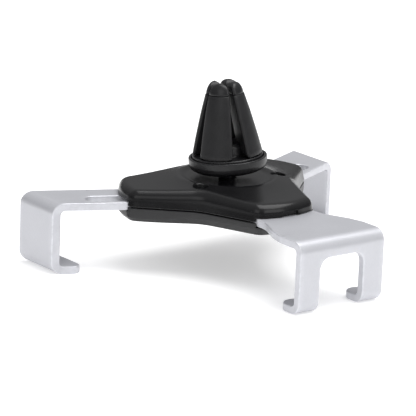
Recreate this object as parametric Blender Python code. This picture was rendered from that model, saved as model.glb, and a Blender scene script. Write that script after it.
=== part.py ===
"""Gravity phone holder for a car's air vent, as separate pieces. Metres, +Z up: it lies on its hooks, clip upwards."""

import math

import bmesh
import bpy
import numpy as np

MM = 0.001

# Driving dimensions, in millimetres. Z runs from the hooks' feet (0) up to the clip.
SHEET = 2.0  # aluminium sheet of the three arms
PLATE_TOP = 18.4  # upper face of the arms' plates
BEND = 3.1  # outer radius of each bend
LIP = 6.0  # how far a hook's lip reaches in from its wall
LIP_ROUND = 3.1  # rounding of a lip's corners, seen from above

OPENING = 86.0  # between the side walls when the holder is empty
ARM_ANGLE = 25.0  # the side arms rise this much from X towards +Y
ARM_CROSSING = -1.3  # y where the side arms' centre lines meet
ARM_HALF = 6.6  # half width of a side arm
ARM_INNER = 15.0  # inner end of a side arm, along its line from the crossing
ARM_SLOT_HALF = 2.5
ARM_SLOT_SIDE = 2.4  # the slot lies this much nearer to the bottom arm than the arm's middle
ARM_SLOT_END = 37.7  # outer end of the slot, along the arm

BOTTOM_WALL = 46.8  # the bottom arm's outer face, from the clip's axis
BOTTOM_HALF = 13.2
NECK_HALF = 8.8
NECK_START = 27.2
NECK_END = 38.5
BOTTOM_INNER = 8.6
FOOT_WIDTH = 6.4
CUTOUT_TOP = 13.7
CUTOUT_ROUND = 3.0

BOTTOM_TRAVEL = 7.0
RATIO = 1.5  # side arm travel for each mm of the bottom arm's
SIDE_TRAVEL = BOTTOM_TRAVEL * RATIO

LOBE_END = 27.5  # corners of a side lobe's mouth, along the arm
LOBE_MID = 29.2
LOBE_HALF = 8.0
FRONT_LOBE = (8.9, 24.8, 27.2)  # half width, corner y, middle y of the lower lobe
WAIST = (15.3, 9.0)
BACK_WAIST = 16.3
SHELL_WALL = 1.6
FRONT_FACE = 13.7  # the front shell's face, where the phone lies
FRONT_BEVEL = 2.1
LOBE_BEVEL = 1.0  # the bevel narrows to this at the ends of the side lobes
PAD_SHARE = 0.68  # the pad's outline against the shell's
PAD_THICK = 0.8
SEAM = 17.4
SEAM_GAP = 0.3
EDGE_ROUND = 2.4
DOME_TOP = 23.3
DOME_END = 21.45  # where the dome levels off
DOME_R = (12.5, 6.5)  # foot of the clip's rise, and how fast it falls
DISH_TOP = 22.7
DISH_R = 10.4
ROOF = 1.4

SCREWS = ((-12.4, -5.3), (12.4, -5.3), (0.0, 12.2))
SCREW_BOSS = 1.9
SCREW_HEAD = 1.75
SCREW_SHANK = 0.9
POST_ALONG = 22.0  # guide post on a side arm's slot line, along the arm
FRONT_POST_Y = -18.8
BUSH_R = 2.25

CAM_Z = (18.72, 19.82)
CAM_PIN_ALONG = 18.5
CAM_PIN_SIDE = -2.9
CAM_PIN_R = 1.1
CAM_SLOT_HALF = 1.25
RIVETS = ((-5.6, -13.4), (5.6, -13.4))
SPRING_Z = 19.85
SPRING_R = 0.85
SPRING_WIRE = 0.17
SPRING_Y = (-16.9, -4.5)
SPRING_TURNS = 9

BALL_Z = 27.0
BALL_R = 3.6
LEAN = 4.9  # the clip leans this much at rest
LEAN_TOWARDS = 142.2  # direction of the lean, anticlockwise from +X
SWIVEL = -14.5  # how far the jaws are turned at rest
COLLAR_R = 10.0
COLLAR_LOW = -2.3
COLLAR_HIGH = 1.2
CORE_R = 9.0
JAW_LEVELS = (1.8, 6.0, 10.1, 13.5, 17.6)  # heights above the ball's centre
JAW_RADII = (8.95, 8.0, 6.95, 6.05, 4.8)
JAW_TIP = 20.4
SLIT_LOW = 2.0  # half width of the slits at the jaws' foot
SLIT_HIGH = 0.4
SLEEVE = 0.7

CLEAR = 0.3  # between touching pieces
RUN = 0.25  # between sliding pieces

ALPHA = math.radians(ARM_ANGLE)
WALL_X = OPENING / 2 + SHEET
Y_FAR = ARM_CROSSING + WALL_X * math.tan(ALPHA) + ARM_HALF / math.cos(ALPHA)
SHIFT = np.array([0.0, (BOTTOM_WALL - Y_FAR) / 2, 0.0])  # puts the origin under the middle of the part


def clear_scene():
    for obj in list(bpy.data.objects):
        bpy.data.objects.remove(obj, do_unlink=True)
    for mesh in list(bpy.data.meshes):
        bpy.data.meshes.remove(mesh)


def collection(name, hidden=False):
    made = bpy.data.collections.new(name)
    bpy.context.scene.collection.children.link(made)
    made.hide_render = hidden
    return made


def material(name, colour, metallic, roughness):
    mat = bpy.data.materials.new(name)
    mat.use_nodes = True
    shader = mat.node_tree.nodes["Principled BSDF"]
    shader.inputs["Base Color"].default_value = (*colour, 1.0)
    shader.inputs["Metallic"].default_value = metallic
    shader.inputs["Roughness"].default_value = roughness
    mat.diffuse_color = (*colour, 1.0)
    mat.metallic = metallic
    mat.roughness = roughness
    return mat


class Frame:
    """A place for a piece: its points are turned by the matrix, then moved to the origin."""

    def __init__(self, matrix=None, origin=(0.0, 0.0, 0.0)):
        self.matrix = np.eye(3) if matrix is None else np.asarray(matrix, float)
        self.origin = np.asarray(origin, float)


WORLD = Frame()


def turn(axis, degrees):
    axis = np.asarray(axis, float) / np.linalg.norm(axis)
    a = math.radians(degrees)
    x, y, z = axis
    k = np.array([[0, -z, y], [z, 0, -x], [-y, x, 0]])
    return np.eye(3) + math.sin(a) * k + (1 - math.cos(a)) * (k @ k)


LEAN_DIR = np.array([math.cos(math.radians(LEAN_TOWARDS)), math.sin(math.radians(LEAN_TOWARDS)), 0.0])
LEAN_AXIS = np.cross([0.0, 0.0, 1.0], LEAN_DIR)
BALL = (0.0, 0.0, BALL_Z)
COLLAR_FRAME = Frame(turn(LEAN_AXIS, LEAN), BALL)
JAW_FRAME = Frame(turn(LEAN_AXIS, LEAN) @ turn((0, 0, 1), SWIVEL), BALL)


def solid(name, points, faces, where, frame=WORLD, mat=None):
    """One mesh object. Its own origin is the frame's, so a piece that turns has it on its axis."""
    points = (np.asarray(points, float) @ frame.matrix.T) * MM
    mesh = bpy.data.meshes.new(name)
    mesh.from_pydata([tuple(p) for p in points], [], [tuple(int(i) for i in f) for f in faces])
    work = bmesh.new()
    work.from_mesh(mesh)
    bmesh.ops.remove_doubles(work, verts=work.verts, dist=1e-7)
    bmesh.ops.recalc_face_normals(work, faces=work.faces)
    if work.calc_volume(signed=True) < 0:
        bmesh.ops.reverse_faces(work, faces=work.faces)
    work.to_mesh(mesh)
    work.free()
    obj = bpy.data.objects.new(name, mesh)
    obj.location = tuple((frame.origin + SHIFT) * MM)
    where.objects.link(obj)
    if mat is not None:
        mesh.materials.append(mat)
    return obj


def loft(rings):
    """Points and faces through rings of equal length, capped at both ends."""
    count = len(rings[0])
    points = np.vstack(rings)
    faces = []
    for level in range(len(rings) - 1):
        low, high = level * count, (level + 1) * count
        for i in range(count):
            j = (i + 1) % count
            faces.append((low + i, low + j, high + j, high + i))
    last = (len(rings) - 1) * count
    faces.append(tuple(reversed(range(count))))
    faces.append(tuple(range(last, last + count)))
    return points, faces


def flat_ring(outline, z):
    z = np.broadcast_to(z, len(outline))
    return np.column_stack([outline, z])


def prism(outline, low, high):
    return loft([flat_ring(outline, low), flat_ring(outline, high)])


def revolve(profile, steps):
    """A closed (radius, height) loop turned about Z."""
    profile = np.asarray(profile, float)
    count = len(profile)
    points, faces = [], []
    for k in range(steps):
        a = 2 * math.pi * k / steps
        points += [(r * math.cos(a), r * math.sin(a), z) for r, z in profile]
    for k in range(steps):
        m = (k + 1) % steps
        for i in range(count):
            j = (i + 1) % count
            face = [k * count + i, k * count + j, m * count + j, m * count + i]
            faces.append(face)
    return np.array(points), faces


def turned(profile, steps):
    """A revolve whose first and last points are on the axis, so those two rings close as fans."""
    profile = np.asarray(profile, float)
    inner = profile[1:-1]
    angles = 2 * math.pi * np.arange(steps) / steps
    rings = [np.column_stack([r * np.cos(angles), r * np.sin(angles), np.full(steps, z)]) for r, z in inner]
    points, faces = loft(rings)
    return points, faces


def circle(x, y, r, steps=24):
    a = 2 * math.pi * (np.arange(steps) + 0.5) / steps
    return np.column_stack([x + r * np.cos(a), y + r * np.sin(a)])


def rounded(corners, radii, steps=5):
    """A closed outline through these corners, each rounded by its radius."""
    corners = [np.asarray(c, float) for c in corners]
    out = []
    for i, p in enumerate(corners):
        if radii[i] <= 0:
            out.append(p)
            continue
        a = corners[i - 1] - p
        b = corners[(i + 1) % len(corners)] - p
        la, lb = np.linalg.norm(a), np.linalg.norm(b)
        a, b = a / la, b / lb
        half = math.acos(float(np.clip(a @ b, -1, 1))) / 2
        cut = min(radii[i] / math.tan(half), 0.48 * la, 0.48 * lb)
        r = cut * math.tan(half)
        middle = p + (a + b) / np.linalg.norm(a + b) * r / math.sin(half)
        start, end = p + a * cut - middle, p + b * cut - middle
        span = math.acos(float(np.clip(start @ end / r**2, -1, 1)))
        for k in range(steps + 1):
            u = k / steps
            out.append(middle + (math.sin((1 - u) * span) * start + math.sin(u * span) * end) / math.sin(span))
    return np.array(out)


def inset(outline, distance):
    """The outline moved inwards along its normals."""
    before, after = np.roll(outline, 1, 0), np.roll(outline, -1, 0)
    tangent = after - before
    tangent /= np.linalg.norm(tangent, axis=1)[:, None]
    normal = np.column_stack([-tangent[:, 1], tangent[:, 0]])
    x, y = outline.T
    if np.sum(x * np.roll(y, -1) - np.roll(x, -1) * y) < 0:
        normal = -normal
    return outline + normal * distance


def slot_outline(start, end, half, steps=10):
    """A slot with round ends between two centres."""
    start, end = np.asarray(start, float), np.asarray(end, float)
    along = (end - start) / np.linalg.norm(end - start)
    base = math.atan2(along[1], along[0])
    out = []
    for centre, first in ((end, base - math.pi / 2), (start, base + math.pi / 2)):
        for k in range(steps + 1):
            a = first + math.pi * k / steps
            out.append(centre + half * np.array([math.cos(a), math.sin(a)]))
    return np.array(out)


def arm_point(along, side, hand):
    """A plan point by its place on a side arm. hand is 1 for the right arm and -1 for the left."""
    x = along * math.cos(ALPHA) + side * math.sin(ALPHA)
    y = ARM_CROSSING + along * math.sin(ALPHA) - side * math.cos(ALPHA)
    return np.array([hand * x, y])


def arm_box(first, last, side_low, side_high, hand):
    places = ((first, side_low), (first, side_high), (last, side_high), (last, side_low))
    return np.array([arm_point(s, w, hand) for s, w in places])


clear_scene()
PARTS = collection("phone_holder")
CUTTERS = collection("cutters", hidden=True)

ALUMINIUM = material("aluminium", (0.62, 0.63, 0.66), 1.0, 0.35)
ABS_REAR = material("abs_rear", (0.025, 0.025, 0.027), 0.0, 0.38)
ABS_FRONT = material("abs_front", (0.03, 0.03, 0.032), 0.0, 0.42)
PAD = material("pad_rubber", (0.05, 0.05, 0.05), 0.0, 0.8)
STEEL = material("steel", (0.55, 0.55, 0.56), 1.0, 0.3)
BLACK_STEEL = material("black_steel", (0.08, 0.08, 0.085), 1.0, 0.4)
ACETAL = material("acetal", (0.75, 0.75, 0.72), 0.0, 0.45)
NYLON = material("nylon", (0.04, 0.04, 0.042), 0.0, 0.3)
RUBBER = material("sleeve_rubber", (0.028, 0.028, 0.03), 0.0, 0.6)

COUNT = {"cutter": 0}


def change(obj, operation, shape, frame=WORLD):
    """Adds or cuts a shape by a Boolean. The other body is kept as a hidden helper."""
    COUNT["cutter"] += 1
    helper = solid(f"helper_{COUNT['cutter']:02d}", *shape, CUTTERS, frame)
    helper.display_type = "WIRE"
    helper.hide_render = True
    modifier = obj.modifiers.new(f"{operation.lower()}_{COUNT['cutter']:02d}", "BOOLEAN")
    modifier.operation = operation
    modifier.solver = "EXACT"
    modifier.object = helper
    return modifier


def cut(obj, shape, frame=WORLD):
    return change(obj, "DIFFERENCE", shape, frame)


def add(obj, shape, frame=WORLD):
    return change(obj, "UNION", shape, frame)


def keep(obj, shape, frame=WORLD):
    return change(obj, "INTERSECT", shape, frame)


def make(name, shape, mat, frame=WORLD):
    return solid(name, *shape, PARTS, frame, mat)


# ---- outlines shared by the two shells ----


def body_outline():
    mirror = lambda p: np.array([-p[0], p[1]])  # noqa: E731
    far = arm_point(LOBE_END, -LOBE_HALF, 1)
    mid = arm_point(LOBE_MID, 0, 1)
    near = arm_point(LOBE_END, LOBE_HALF, 1)
    waist = np.array([WAIST[0], -WAIST[1]])
    corner = np.array([FRONT_LOBE[0], -FRONT_LOBE[1]])
    tip = np.array([0.0, -FRONT_LOBE[2]])
    back = np.array([0.0, BACK_WAIST])
    right = [far, mid, near, waist, corner]
    left = [mirror(p) for p in reversed(right)]
    radii = [4.0, 30.0, 3.3, 10.0, 4.2]
    return rounded(right + [tip] + left + [back], radii + [30.0] + radii[::-1] + [14.0])


OUTLINE = body_outline()


def dome(radius, top=DOME_TOP, end=DOME_END):
    t = np.maximum(np.asarray(radius, float) - DOME_R[0], 0) / DOME_R[1]
    return end + (top - end) * np.exp(-t)


def ring_of_circle(outline, radius):
    angle = np.arctan2(outline[:, 1], outline[:, 0])
    return radius * np.column_stack([np.cos(angle), np.sin(angle)])


def shell_top(outer):
    """Rings over a lobed edge that end as circles round the clip's dish."""
    rings = []
    for share in (0.25, 0.5, 0.75, 1.0):
        plan = (1 - share) * outer + share * ring_of_circle(outer, DOME_R[0])
        rings.append(plan)
    return rings


def rear_outer():
    rings = [flat_ring(OUTLINE, SEAM + SEAM_GAP / 2)]
    edge = inset(OUTLINE, 0.35)
    lift = dome(np.linalg.norm(edge, axis=1)) - EDGE_ROUND
    rings.append(flat_ring(edge, lift))
    for k in range(1, 5):
        a = math.pi / 2 * k / 4
        plan = inset(OUTLINE, 0.35 + EDGE_ROUND * (1 - math.cos(a)))
        top = dome(np.linalg.norm(plan, axis=1))
        rings.append(flat_ring(plan, top - EDGE_ROUND * (1 - math.sin(a))))
    edge = inset(OUTLINE, 0.35 + EDGE_ROUND)
    for plan in shell_top(edge):
        rings.append(flat_ring(plan, dome(np.linalg.norm(plan, axis=1))))
    rings.append(flat_ring(ring_of_circle(OUTLINE, DISH_R), DISH_TOP))
    return loft(rings)


def rear_cavity():
    wall = inset(OUTLINE, SHELL_WALL + 0.2)
    rings = [flat_ring(inset(OUTLINE, SHELL_WALL), SEAM - 2.0)]
    rings.append(flat_ring(wall, dome(np.linalg.norm(wall, axis=1)) - EDGE_ROUND - 0.9))
    edge = inset(OUTLINE, SHELL_WALL + 1.0)
    for plan in [edge] + shell_top(edge):
        rings.append(flat_ring(plan, dome(np.linalg.norm(plan, axis=1)) - ROOF))
    rings.append(flat_ring(ring_of_circle(OUTLINE, DISH_R + 0.4), DISH_TOP - ROOF))
    return loft(rings)


PLATE_LOW = PLATE_TOP - SHEET
MOUTH = (PLATE_LOW - CLEAR, PLATE_TOP + CLEAR)

# ---- rear shell ----
rear = make("rear_shell", rear_outer(), ABS_REAR)
cut(rear, rear_cavity())
for x, y in SCREWS:
    add(rear, prism(circle(x, y, SCREW_HEAD + 0.85), CAM_Z[1] + CLEAR, dome(np.hypot(x, y)) - ROOF / 2))
for x, y in SCREWS:
    cut(rear, prism(circle(x, y, SCREW_HEAD + 0.2), CAM_Z[1] + CLEAR + 0.8, DOME_TOP + 2))
    cut(rear, prism(circle(x, y, SCREW_SHANK + RUN), CAM_Z[1] - 1, DOME_TOP))
for hand in (1, -1):
    cut(rear, prism(arm_box(ARM_INNER - 3, 45, -ARM_HALF - CLEAR, ARM_HALF + CLEAR, hand), MOUTH[0] - 2, MOUTH[1]))
front_mouth = np.array([(-NECK_HALF, -45), (NECK_HALF, -45), (NECK_HALF, -15), (-NECK_HALF, -15)], float)
front_mouth[:, 0] *= (NECK_HALF + CLEAR) / NECK_HALF
cut(rear, prism(front_mouth, MOUTH[0] - 2, MOUTH[1]))
relief = np.array([(-2.3, -40), (2.3, -40), (2.3, -25.4), (-2.3, -25.4)])
cut(rear, prism(relief, MOUTH[1] - 0.5, MOUTH[1] + 1.1))
cut(rear, prism(circle(0, 0, 2.25, 32), DISH_TOP - 4, DISH_TOP + 4))

# ---- front shell ----
share = np.clip((np.abs(OUTLINE[:, 0]) - 13.0) / 12.0, 0, 1)
bevel = FRONT_BEVEL - (FRONT_BEVEL - LOBE_BEVEL) * share**2 * (3 - 2 * share)
away = inset(OUTLINE, 1.0) - OUTLINE
front_rings = [
    flat_ring(OUTLINE + away * bevel[:, None], FRONT_FACE),
    flat_ring(OUTLINE + away * 0.1, FRONT_FACE + bevel),
    flat_ring(OUTLINE, FRONT_FACE + bevel + 0.2),
    flat_ring(OUTLINE, SEAM - SEAM_GAP / 2),
]
front = make("front_shell", loft(front_rings), ABS_FRONT)
FLOOR = FRONT_FACE + 1.5
cut(front, prism(inset(OUTLINE, SHELL_WALL + 0.5), FLOOR, SEAM + 3))
for hand in (1, -1):
    for side in (-4.9, 5.6):
        add(front, prism(arm_box(9.8, 25.8, side - 0.5, side + 0.5, hand), FLOOR - 0.4, PLATE_LOW - CLEAR))
    cut(front, prism(arm_box(ARM_INNER + 6, 45, -ARM_HALF - CLEAR, ARM_HALF + CLEAR, hand), *MOUTH))
    x, y = arm_point(POST_ALONG, ARM_SLOT_SIDE, hand)
    add(front, prism(circle(x, y, 1.35), FLOOR - 0.4, CAM_Z[1]))
for x in (-6.2, 6.2):
    rail = np.array([(x - 0.6, -24.2), (x + 0.6, -24.2), (x + 0.6, -10.0), (x - 0.6, -10.0)])
    add(front, prism(rail, FLOOR - 0.4, PLATE_LOW - CLEAR))
cut(front, prism(front_mouth, *MOUTH))
add(front, prism(circle(0, FRONT_POST_Y, 1.35), FLOOR - 0.4, CAM_Z[0] + 0.4))
stop = np.array([(-1.9, FRONT_POST_Y - 1.5), (1.9, FRONT_POST_Y - 1.5)])
stop = np.vstack([stop, [(1.9, SPRING_Y[0] - CLEAR), (-1.9, SPRING_Y[0] - CLEAR)]])
add(front, prism(stop, PLATE_TOP + 2 * CLEAR, CAM_Z[1] + 0.7))
for x, y in SCREWS:
    add(front, prism(circle(x, y, SCREW_BOSS), FLOOR - 0.4, CAM_Z[1] + 0.05))
for x, y in SCREWS:
    cut(front, prism(circle(x, y, SCREW_SHANK + RUN), FLOOR + 0.3, CAM_Z[1] + 2))

PAD_TOP = FRONT_FACE - CLEAR
make("front_pad", prism(OUTLINE * PAD_SHARE, PAD_TOP - PAD_THICK, PAD_TOP), PAD)

for number, (x, y) in enumerate(SCREWS, 1):
    seat = CAM_Z[1] + CLEAR + 0.8 + 0.1
    profile = [(0, FLOOR + 0.7), (SCREW_SHANK * 0.6, FLOOR + 0.7), (SCREW_SHANK, FLOOR + 1.4), (SCREW_SHANK, seat)]
    profile += [(SCREW_HEAD, seat), (SCREW_HEAD, seat + 0.6), (SCREW_HEAD * 0.75, seat + 1.0), (0, seat + 1.0)]
    points, faces = turned(profile, 20)
    screw = make(f"case_screw_{number}", (points + np.array([x, y, 0]), faces), BLACK_STEEL)
    for size in ((0.22, 1.0), (1.0, 0.22)):
        cross = np.array([(-size[0], -size[1]), (size[0], -size[1]), (size[0], size[1]), (-size[0], size[1])])
        cut(screw, prism(cross + np.array([x, y]), seat + 0.45, seat + 2))

bush_profile = [(1.35 + CLEAR, MOUTH[0] + 0.1), (BUSH_R, MOUTH[0] + 0.1), (BUSH_R, MOUTH[1]), (1.35 + CLEAR, MOUTH[1])]
bush_places = {"guide_bush_right": arm_point(POST_ALONG, ARM_SLOT_SIDE, 1)}
bush_places["guide_bush_left"] = arm_point(POST_ALONG, ARM_SLOT_SIDE, -1)
bush_places["guide_bush_bottom"] = np.array([0.0, FRONT_POST_Y])
for name, (x, y) in bush_places.items():
    points, faces = revolve(bush_profile, 28)
    make(name, (points + np.array([x, y, 0]), faces), ACETAL)


# ---- arms ----


def arc(centre, radius, first, last, steps=8):
    a = np.radians(np.linspace(first, last, steps + 1))
    return [(centre[0] + radius * math.cos(t), centre[1] + radius * math.sin(t)) for t in a]


def hook_profile(inner):
    """Plate, wall and lip in one bent sheet, as (outwards, up) with the wall's outer face at 0."""
    t, r = SHEET, BEND
    out = [(inner, PLATE_TOP)]
    out += arc((-r, PLATE_TOP - r), r, 90, 0)
    out += arc((-r, r), r, 0, -90)
    out += [(-t - LIP + 0.4, 0.0), (-t - LIP, 0.4), (-t - LIP, t - 0.4), (-t - LIP + 0.4, t)]
    out += arc((-r, r), r - t, -90, 0)
    out += arc((-r, PLATE_TOP - r), r - t, 0, 90)
    out += [(inner, PLATE_TOP - t)]
    return np.array(out)


def bent(inner, half, to_world):
    """The profile swept straight across, as world points."""
    profile = hook_profile(inner)
    rings = [np.array([to_world(n, side, z) for n, z in profile]) for side in (-half, half)]
    return loft(rings)


def side_arm(name, hand):
    inner = ARM_INNER * math.cos(ALPHA) - 9 - WALL_X
    shape = bent(inner, 60.0, lambda n, side, z: (hand * (WALL_X + n), side, z))
    arm = make(name, shape, ALUMINIUM)
    strip = [arm_point(ARM_INNER, -ARM_HALF, hand), arm_point(ARM_INNER, ARM_HALF, hand)]
    strip += [arm_point(70, ARM_HALF, hand), arm_point(70, -ARM_HALF, hand)]
    keep(arm, prism(rounded(strip, [2.2, 2.2, 0, 0]), -2, PLATE_TOP + 2))
    y_mid = ARM_CROSSING + WALL_X * math.tan(ALPHA)
    drop = math.tan(ALPHA)
    lip_in = SHEET + LIP
    wide = ARM_HALF / math.cos(ALPHA)
    lip = []
    for n, side in ((9.0, 1), (9.0, -1), (-lip_in, -1), (-lip_in, 1)):
        lip.append((hand * (WALL_X + n), y_mid + n * drop + side * wide))
    tall = [(hand * (WALL_X - SHEET - 0.05), -60), (hand * (WALL_X - SHEET - 0.05), 60)]
    tall += [(hand * (WALL_X - lip_in - 6), 60), (hand * (WALL_X - lip_in - 6), -60)]
    waste = make_waste(np.array(tall), rounded(lip, [0, 0, 0.7 * LIP_ROUND, LIP_ROUND]))
    change_with(arm, "DIFFERENCE", waste)
    first = arm_point(POST_ALONG, ARM_SLOT_SIDE, hand)
    last = arm_point(ARM_SLOT_END - ARM_SLOT_HALF, ARM_SLOT_SIDE, hand)
    cut(arm, prism(slot_outline(first, last, ARM_SLOT_HALF), PLATE_LOW - 2, PLATE_TOP + 2))
    x, y = arm_point(CAM_PIN_ALONG, CAM_PIN_SIDE, hand)
    cut(arm, prism(circle(x, y, CAM_PIN_R + RUN, 20), PLATE_LOW - 2, PLATE_TOP + 2))
    return arm


def make_waste(block, kept):
    """What a lip loses: a low block less the outline that stays."""
    COUNT["cutter"] += 1
    waste = solid(f"helper_{COUNT['cutter']:02d}", *prism(block, -1.0, SHEET + 0.02), CUTTERS)
    waste.display_type = "WIRE"
    waste.hide_render = True
    cut(waste, prism(kept, -2.0, SHEET + 2))
    return waste


def change_with(obj, operation, other):
    modifier = obj.modifiers.new(f"{operation.lower()}_{other.name}", "BOOLEAN")
    modifier.operation = operation
    modifier.solver = "EXACT"
    modifier.object = other
    return modifier


side_arm("side_arm_left", -1)
side_arm("side_arm_right", 1)

bottom = make(
    "bottom_arm",
    bent(BOTTOM_WALL * -1 + 5.0, 30.0, lambda n, side, z: (side, -(BOTTOM_WALL + n), z)),
    ALUMINIUM,
)
flare = (NECK_END - NECK_START) * 0.36
plan = [
    (NECK_HALF, -BOTTOM_INNER),
    (NECK_HALF, -NECK_START),
    (BOTTOM_HALF - 1.0, -NECK_END + flare),
    (BOTTOM_HALF, -NECK_END),
    (BOTTOM_HALF, -BOTTOM_WALL - 3),
]
plan = plan + [(-x, y) for x, y in reversed(plan)]
radii = [2.0, 9.0, 9.0, 4.0, 0]
keep(bottom, prism(rounded(plan, radii + radii[::-1], 6), -2, PLATE_TOP + 2))
gap_half = BOTTOM_HALF - FOOT_WIDTH
opening = rounded(
    [(-gap_half, -5), (gap_half, -5), (gap_half, CUTOUT_TOP), (-gap_half, CUTOUT_TOP)],
    [0, 0, CUTOUT_ROUND, CUTOUT_ROUND],
    6,
)
front_y = -(BOTTOM_WALL + 5)
back_y = -(BOTTOM_WALL - SHEET - LIP - 5)
cut(bottom, loft([np.column_stack([opening[:, 0], np.full(len(opening), y), opening[:, 1]]) for y in (front_y, back_y)]))
for hand in (1, -1):
    x0, x1 = hand * gap_half, hand * BOTTOM_HALF
    y0 = -(BOTTOM_WALL - SHEET - LIP)
    kept = rounded([(x0, -60), (x1, -60), (x1, y0), (x0, y0)], [0, 0, LIP_ROUND, LIP_ROUND])
    block = np.array([(hand * (gap_half - 2), y0 + 3), (hand * (gap_half - 2), -(BOTTOM_WALL - SHEET - 0.05))])
    block = np.vstack([block, [(hand * (BOTTOM_HALF + 2), -(BOTTOM_WALL - SHEET - 0.05)), (hand * (BOTTOM_HALF + 2), y0 + 3)]])
    change_with(bottom, "DIFFERENCE", make_waste(block, kept))
post_to = (0.0, FRONT_POST_Y + BOTTOM_TRAVEL)
cut(bottom, prism(slot_outline((0.0, FRONT_POST_Y), post_to, BUSH_R + RUN), PLATE_LOW - 2, PLATE_TOP + 2))
for x, y in RIVETS:
    cut(bottom, prism(circle(x, y, 1.0 + RUN, 20), PLATE_LOW - 2, PLATE_TOP + 2))

# ---- cam plate, its rivets and the side arms' pins ----
slide = np.array([-RATIO * math.cos(ALPHA), 1 - RATIO * math.sin(ALPHA)]) * BOTTOM_TRAVEL
cam_slots = []
for hand in (1, -1):
    start = arm_point(CAM_PIN_ALONG, CAM_PIN_SIDE, hand)
    cam_slots.append((start, start + slide * np.array([hand, 1])))
rim = CAM_SLOT_HALF + 1.2
(start, end), _ = cam_slots
window = SCREW_BOSS + 0.5
wing_low = start[1] - rim
fork = 2.5
half_plan = [
    (fork, -15.4),
    (6.4, -15.4),
    (7.4, -14.4),
    (NECK_HALF - 0.4, -11.6),
    (NECK_HALF - 0.4, wing_low - 2.6),
    (start[0] + rim * 0.75, wing_low),
    (start[0] + rim, start[1]),
    (start[0] + rim * 0.4, start[1] + rim),
    (end[0] + rim * 0.2, end[1] + rim),
    (window, end[1] + rim * 0.9),
]
notch_low = SCREWS[2][1] - window
half_plan += [(window, notch_low)]
cam_outline = half_plan + [(-x, y) for x, y in reversed(half_plan)]
cam_outline += [(-fork, SPRING_Y[1] + CLEAR), (fork, SPRING_Y[1] + CLEAR)]
cam = make("cam_plate", prism(np.array(cam_outline), *CAM_Z), ACETAL)
for first, last in cam_slots:
    cut(cam, prism(slot_outline(first, last, CAM_SLOT_HALF, 8), CAM_Z[0] - 1, CAM_Z[1] + 1))
for x, y in RIVETS:
    cut(cam, prism(circle(x, y, 1.0 + RUN, 20), CAM_Z[0] - 1, CAM_Z[1] + 1))


def rivet(name, x, y, radius, low, high, head, head_r, mat):
    """A pin with a head over it and an upset end under it."""
    profile = [(0, low), (radius + 0.0, low), (radius, high), (head_r, high), (head_r, high + head), (0, high + head)]
    points, faces = turned(profile, 20)
    return make(name, (points + np.array([x, y, 0]), faces), mat)


for number, (x, y) in enumerate(RIVETS, 1):
    rivet(f"cam_rivet_{number}", x, y, 1.0, PLATE_LOW + 0.1, CAM_Z[1] + 0.1, 0.5, 1.7, STEEL)
for name, hand in (("cam_pin_left", -1), ("cam_pin_right", 1)):
    x, y = arm_point(CAM_PIN_ALONG, CAM_PIN_SIDE, hand)
    rivet(name, x, y, CAM_PIN_R, PLATE_LOW + 0.1, CAM_Z[1] - 0.1, 0.05, CAM_PIN_R, STEEL)


def spring_points():
    """A round wire wound along Y."""
    sides, per_turn = 6, 14
    total = SPRING_TURNS * per_turn
    length = SPRING_Y[1] - SPRING_Y[0] - 2 * SPRING_WIRE
    rings = []
    for k in range(total + 1):
        u = k / total
        a = 2 * math.pi * SPRING_TURNS * u
        # closed end turns, open middle
        share = 0.5 - 0.5 * math.cos(math.pi * u)
        y = SPRING_Y[0] + SPRING_WIRE + length * (0.25 * share + 0.75 * u)
        outward = np.array([math.cos(a), 0.0, math.sin(a)])
        centre = outward * SPRING_R + np.array([0, y, SPRING_Z])
        ring = []
        for m in range(sides):
            b = 2 * math.pi * m / sides
            ring.append(centre + SPRING_WIRE * (math.cos(b) * outward + math.sin(b) * np.array([0, 1.0, 0])))
        rings.append(np.array(ring))
    return loft(rings)


make("return_spring", spring_points(), STEEL)

# ---- ball stud ----
steps = 32
profile = [(0, 21.5), (1.9, 21.5), (1.9, DISH_TOP + CLEAR), (2.2, DISH_TOP + CLEAR)]
neck_top = BALL_Z - math.sqrt(BALL_R**2 - 2.2**2)
low = math.asin((neck_top - BALL_Z) / BALL_R)
for k in range(11):
    a = low + (math.pi / 2 * 0.985 - low) * k / 10
    profile.append((BALL_R * math.cos(a), BALL_Z + BALL_R * math.sin(a)))
profile.append((0, BALL_Z + BALL_R))
stud = make("ball_stud", turned(profile, steps), BLACK_STEEL)
cut(stud, prism(circle(0, 0, 0.9 + RUN, 20), 20, 25.4))
profile = [(0, 20.22), (1.9, 20.22), (2.9, 20.6), (2.9, 21.2), (0.9, 21.2), (0.9, 25.0), (0, 25.0)]
make("stud_screw", turned(profile, 24), STEEL)

# ---- collar, clip core and the jaws' sleeves, about the ball's centre ----
socket = BALL_R + 0.06


def sphere_line(radius, low, high, count):
    """(radius, height) points of a ball's surface between two heights."""
    out = []
    for k in range(count + 1):
        z = low + (high - low) * k / count
        out.append((math.sqrt(max(radius**2 - z**2, 0.0)), z))
    return out


CUP_FLOOR = -0.6
profile = [(COLLAR_R - 1.1, COLLAR_LOW), (COLLAR_R - 0.5, COLLAR_LOW + 0.3), (COLLAR_R - 0.12, COLLAR_LOW + 1.0)]
profile += [(COLLAR_R, COLLAR_LOW + 1.9), (COLLAR_R, COLLAR_HIGH - 0.25), (COLLAR_R - 0.2, COLLAR_HIGH)]
profile += [(CORE_R + RUN + 0.1, COLLAR_HIGH), (CORE_R + RUN, COLLAR_HIGH - 0.1), (CORE_R + RUN, CUP_FLOOR)]
profile += sphere_line(socket, CUP_FLOOR, COLLAR_LOW, 4)
collar = make("collar", revolve(profile, 64), NYLON, COLLAR_FRAME)


def radius_at(z):
    return float(np.interp(z, JAW_LEVELS, JAW_RADII))


def slit_at(z):
    return float(np.interp(z, (JAW_LEVELS[0], JAW_LEVELS[-1]), (SLIT_LOW, SLIT_HIGH)))


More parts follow.
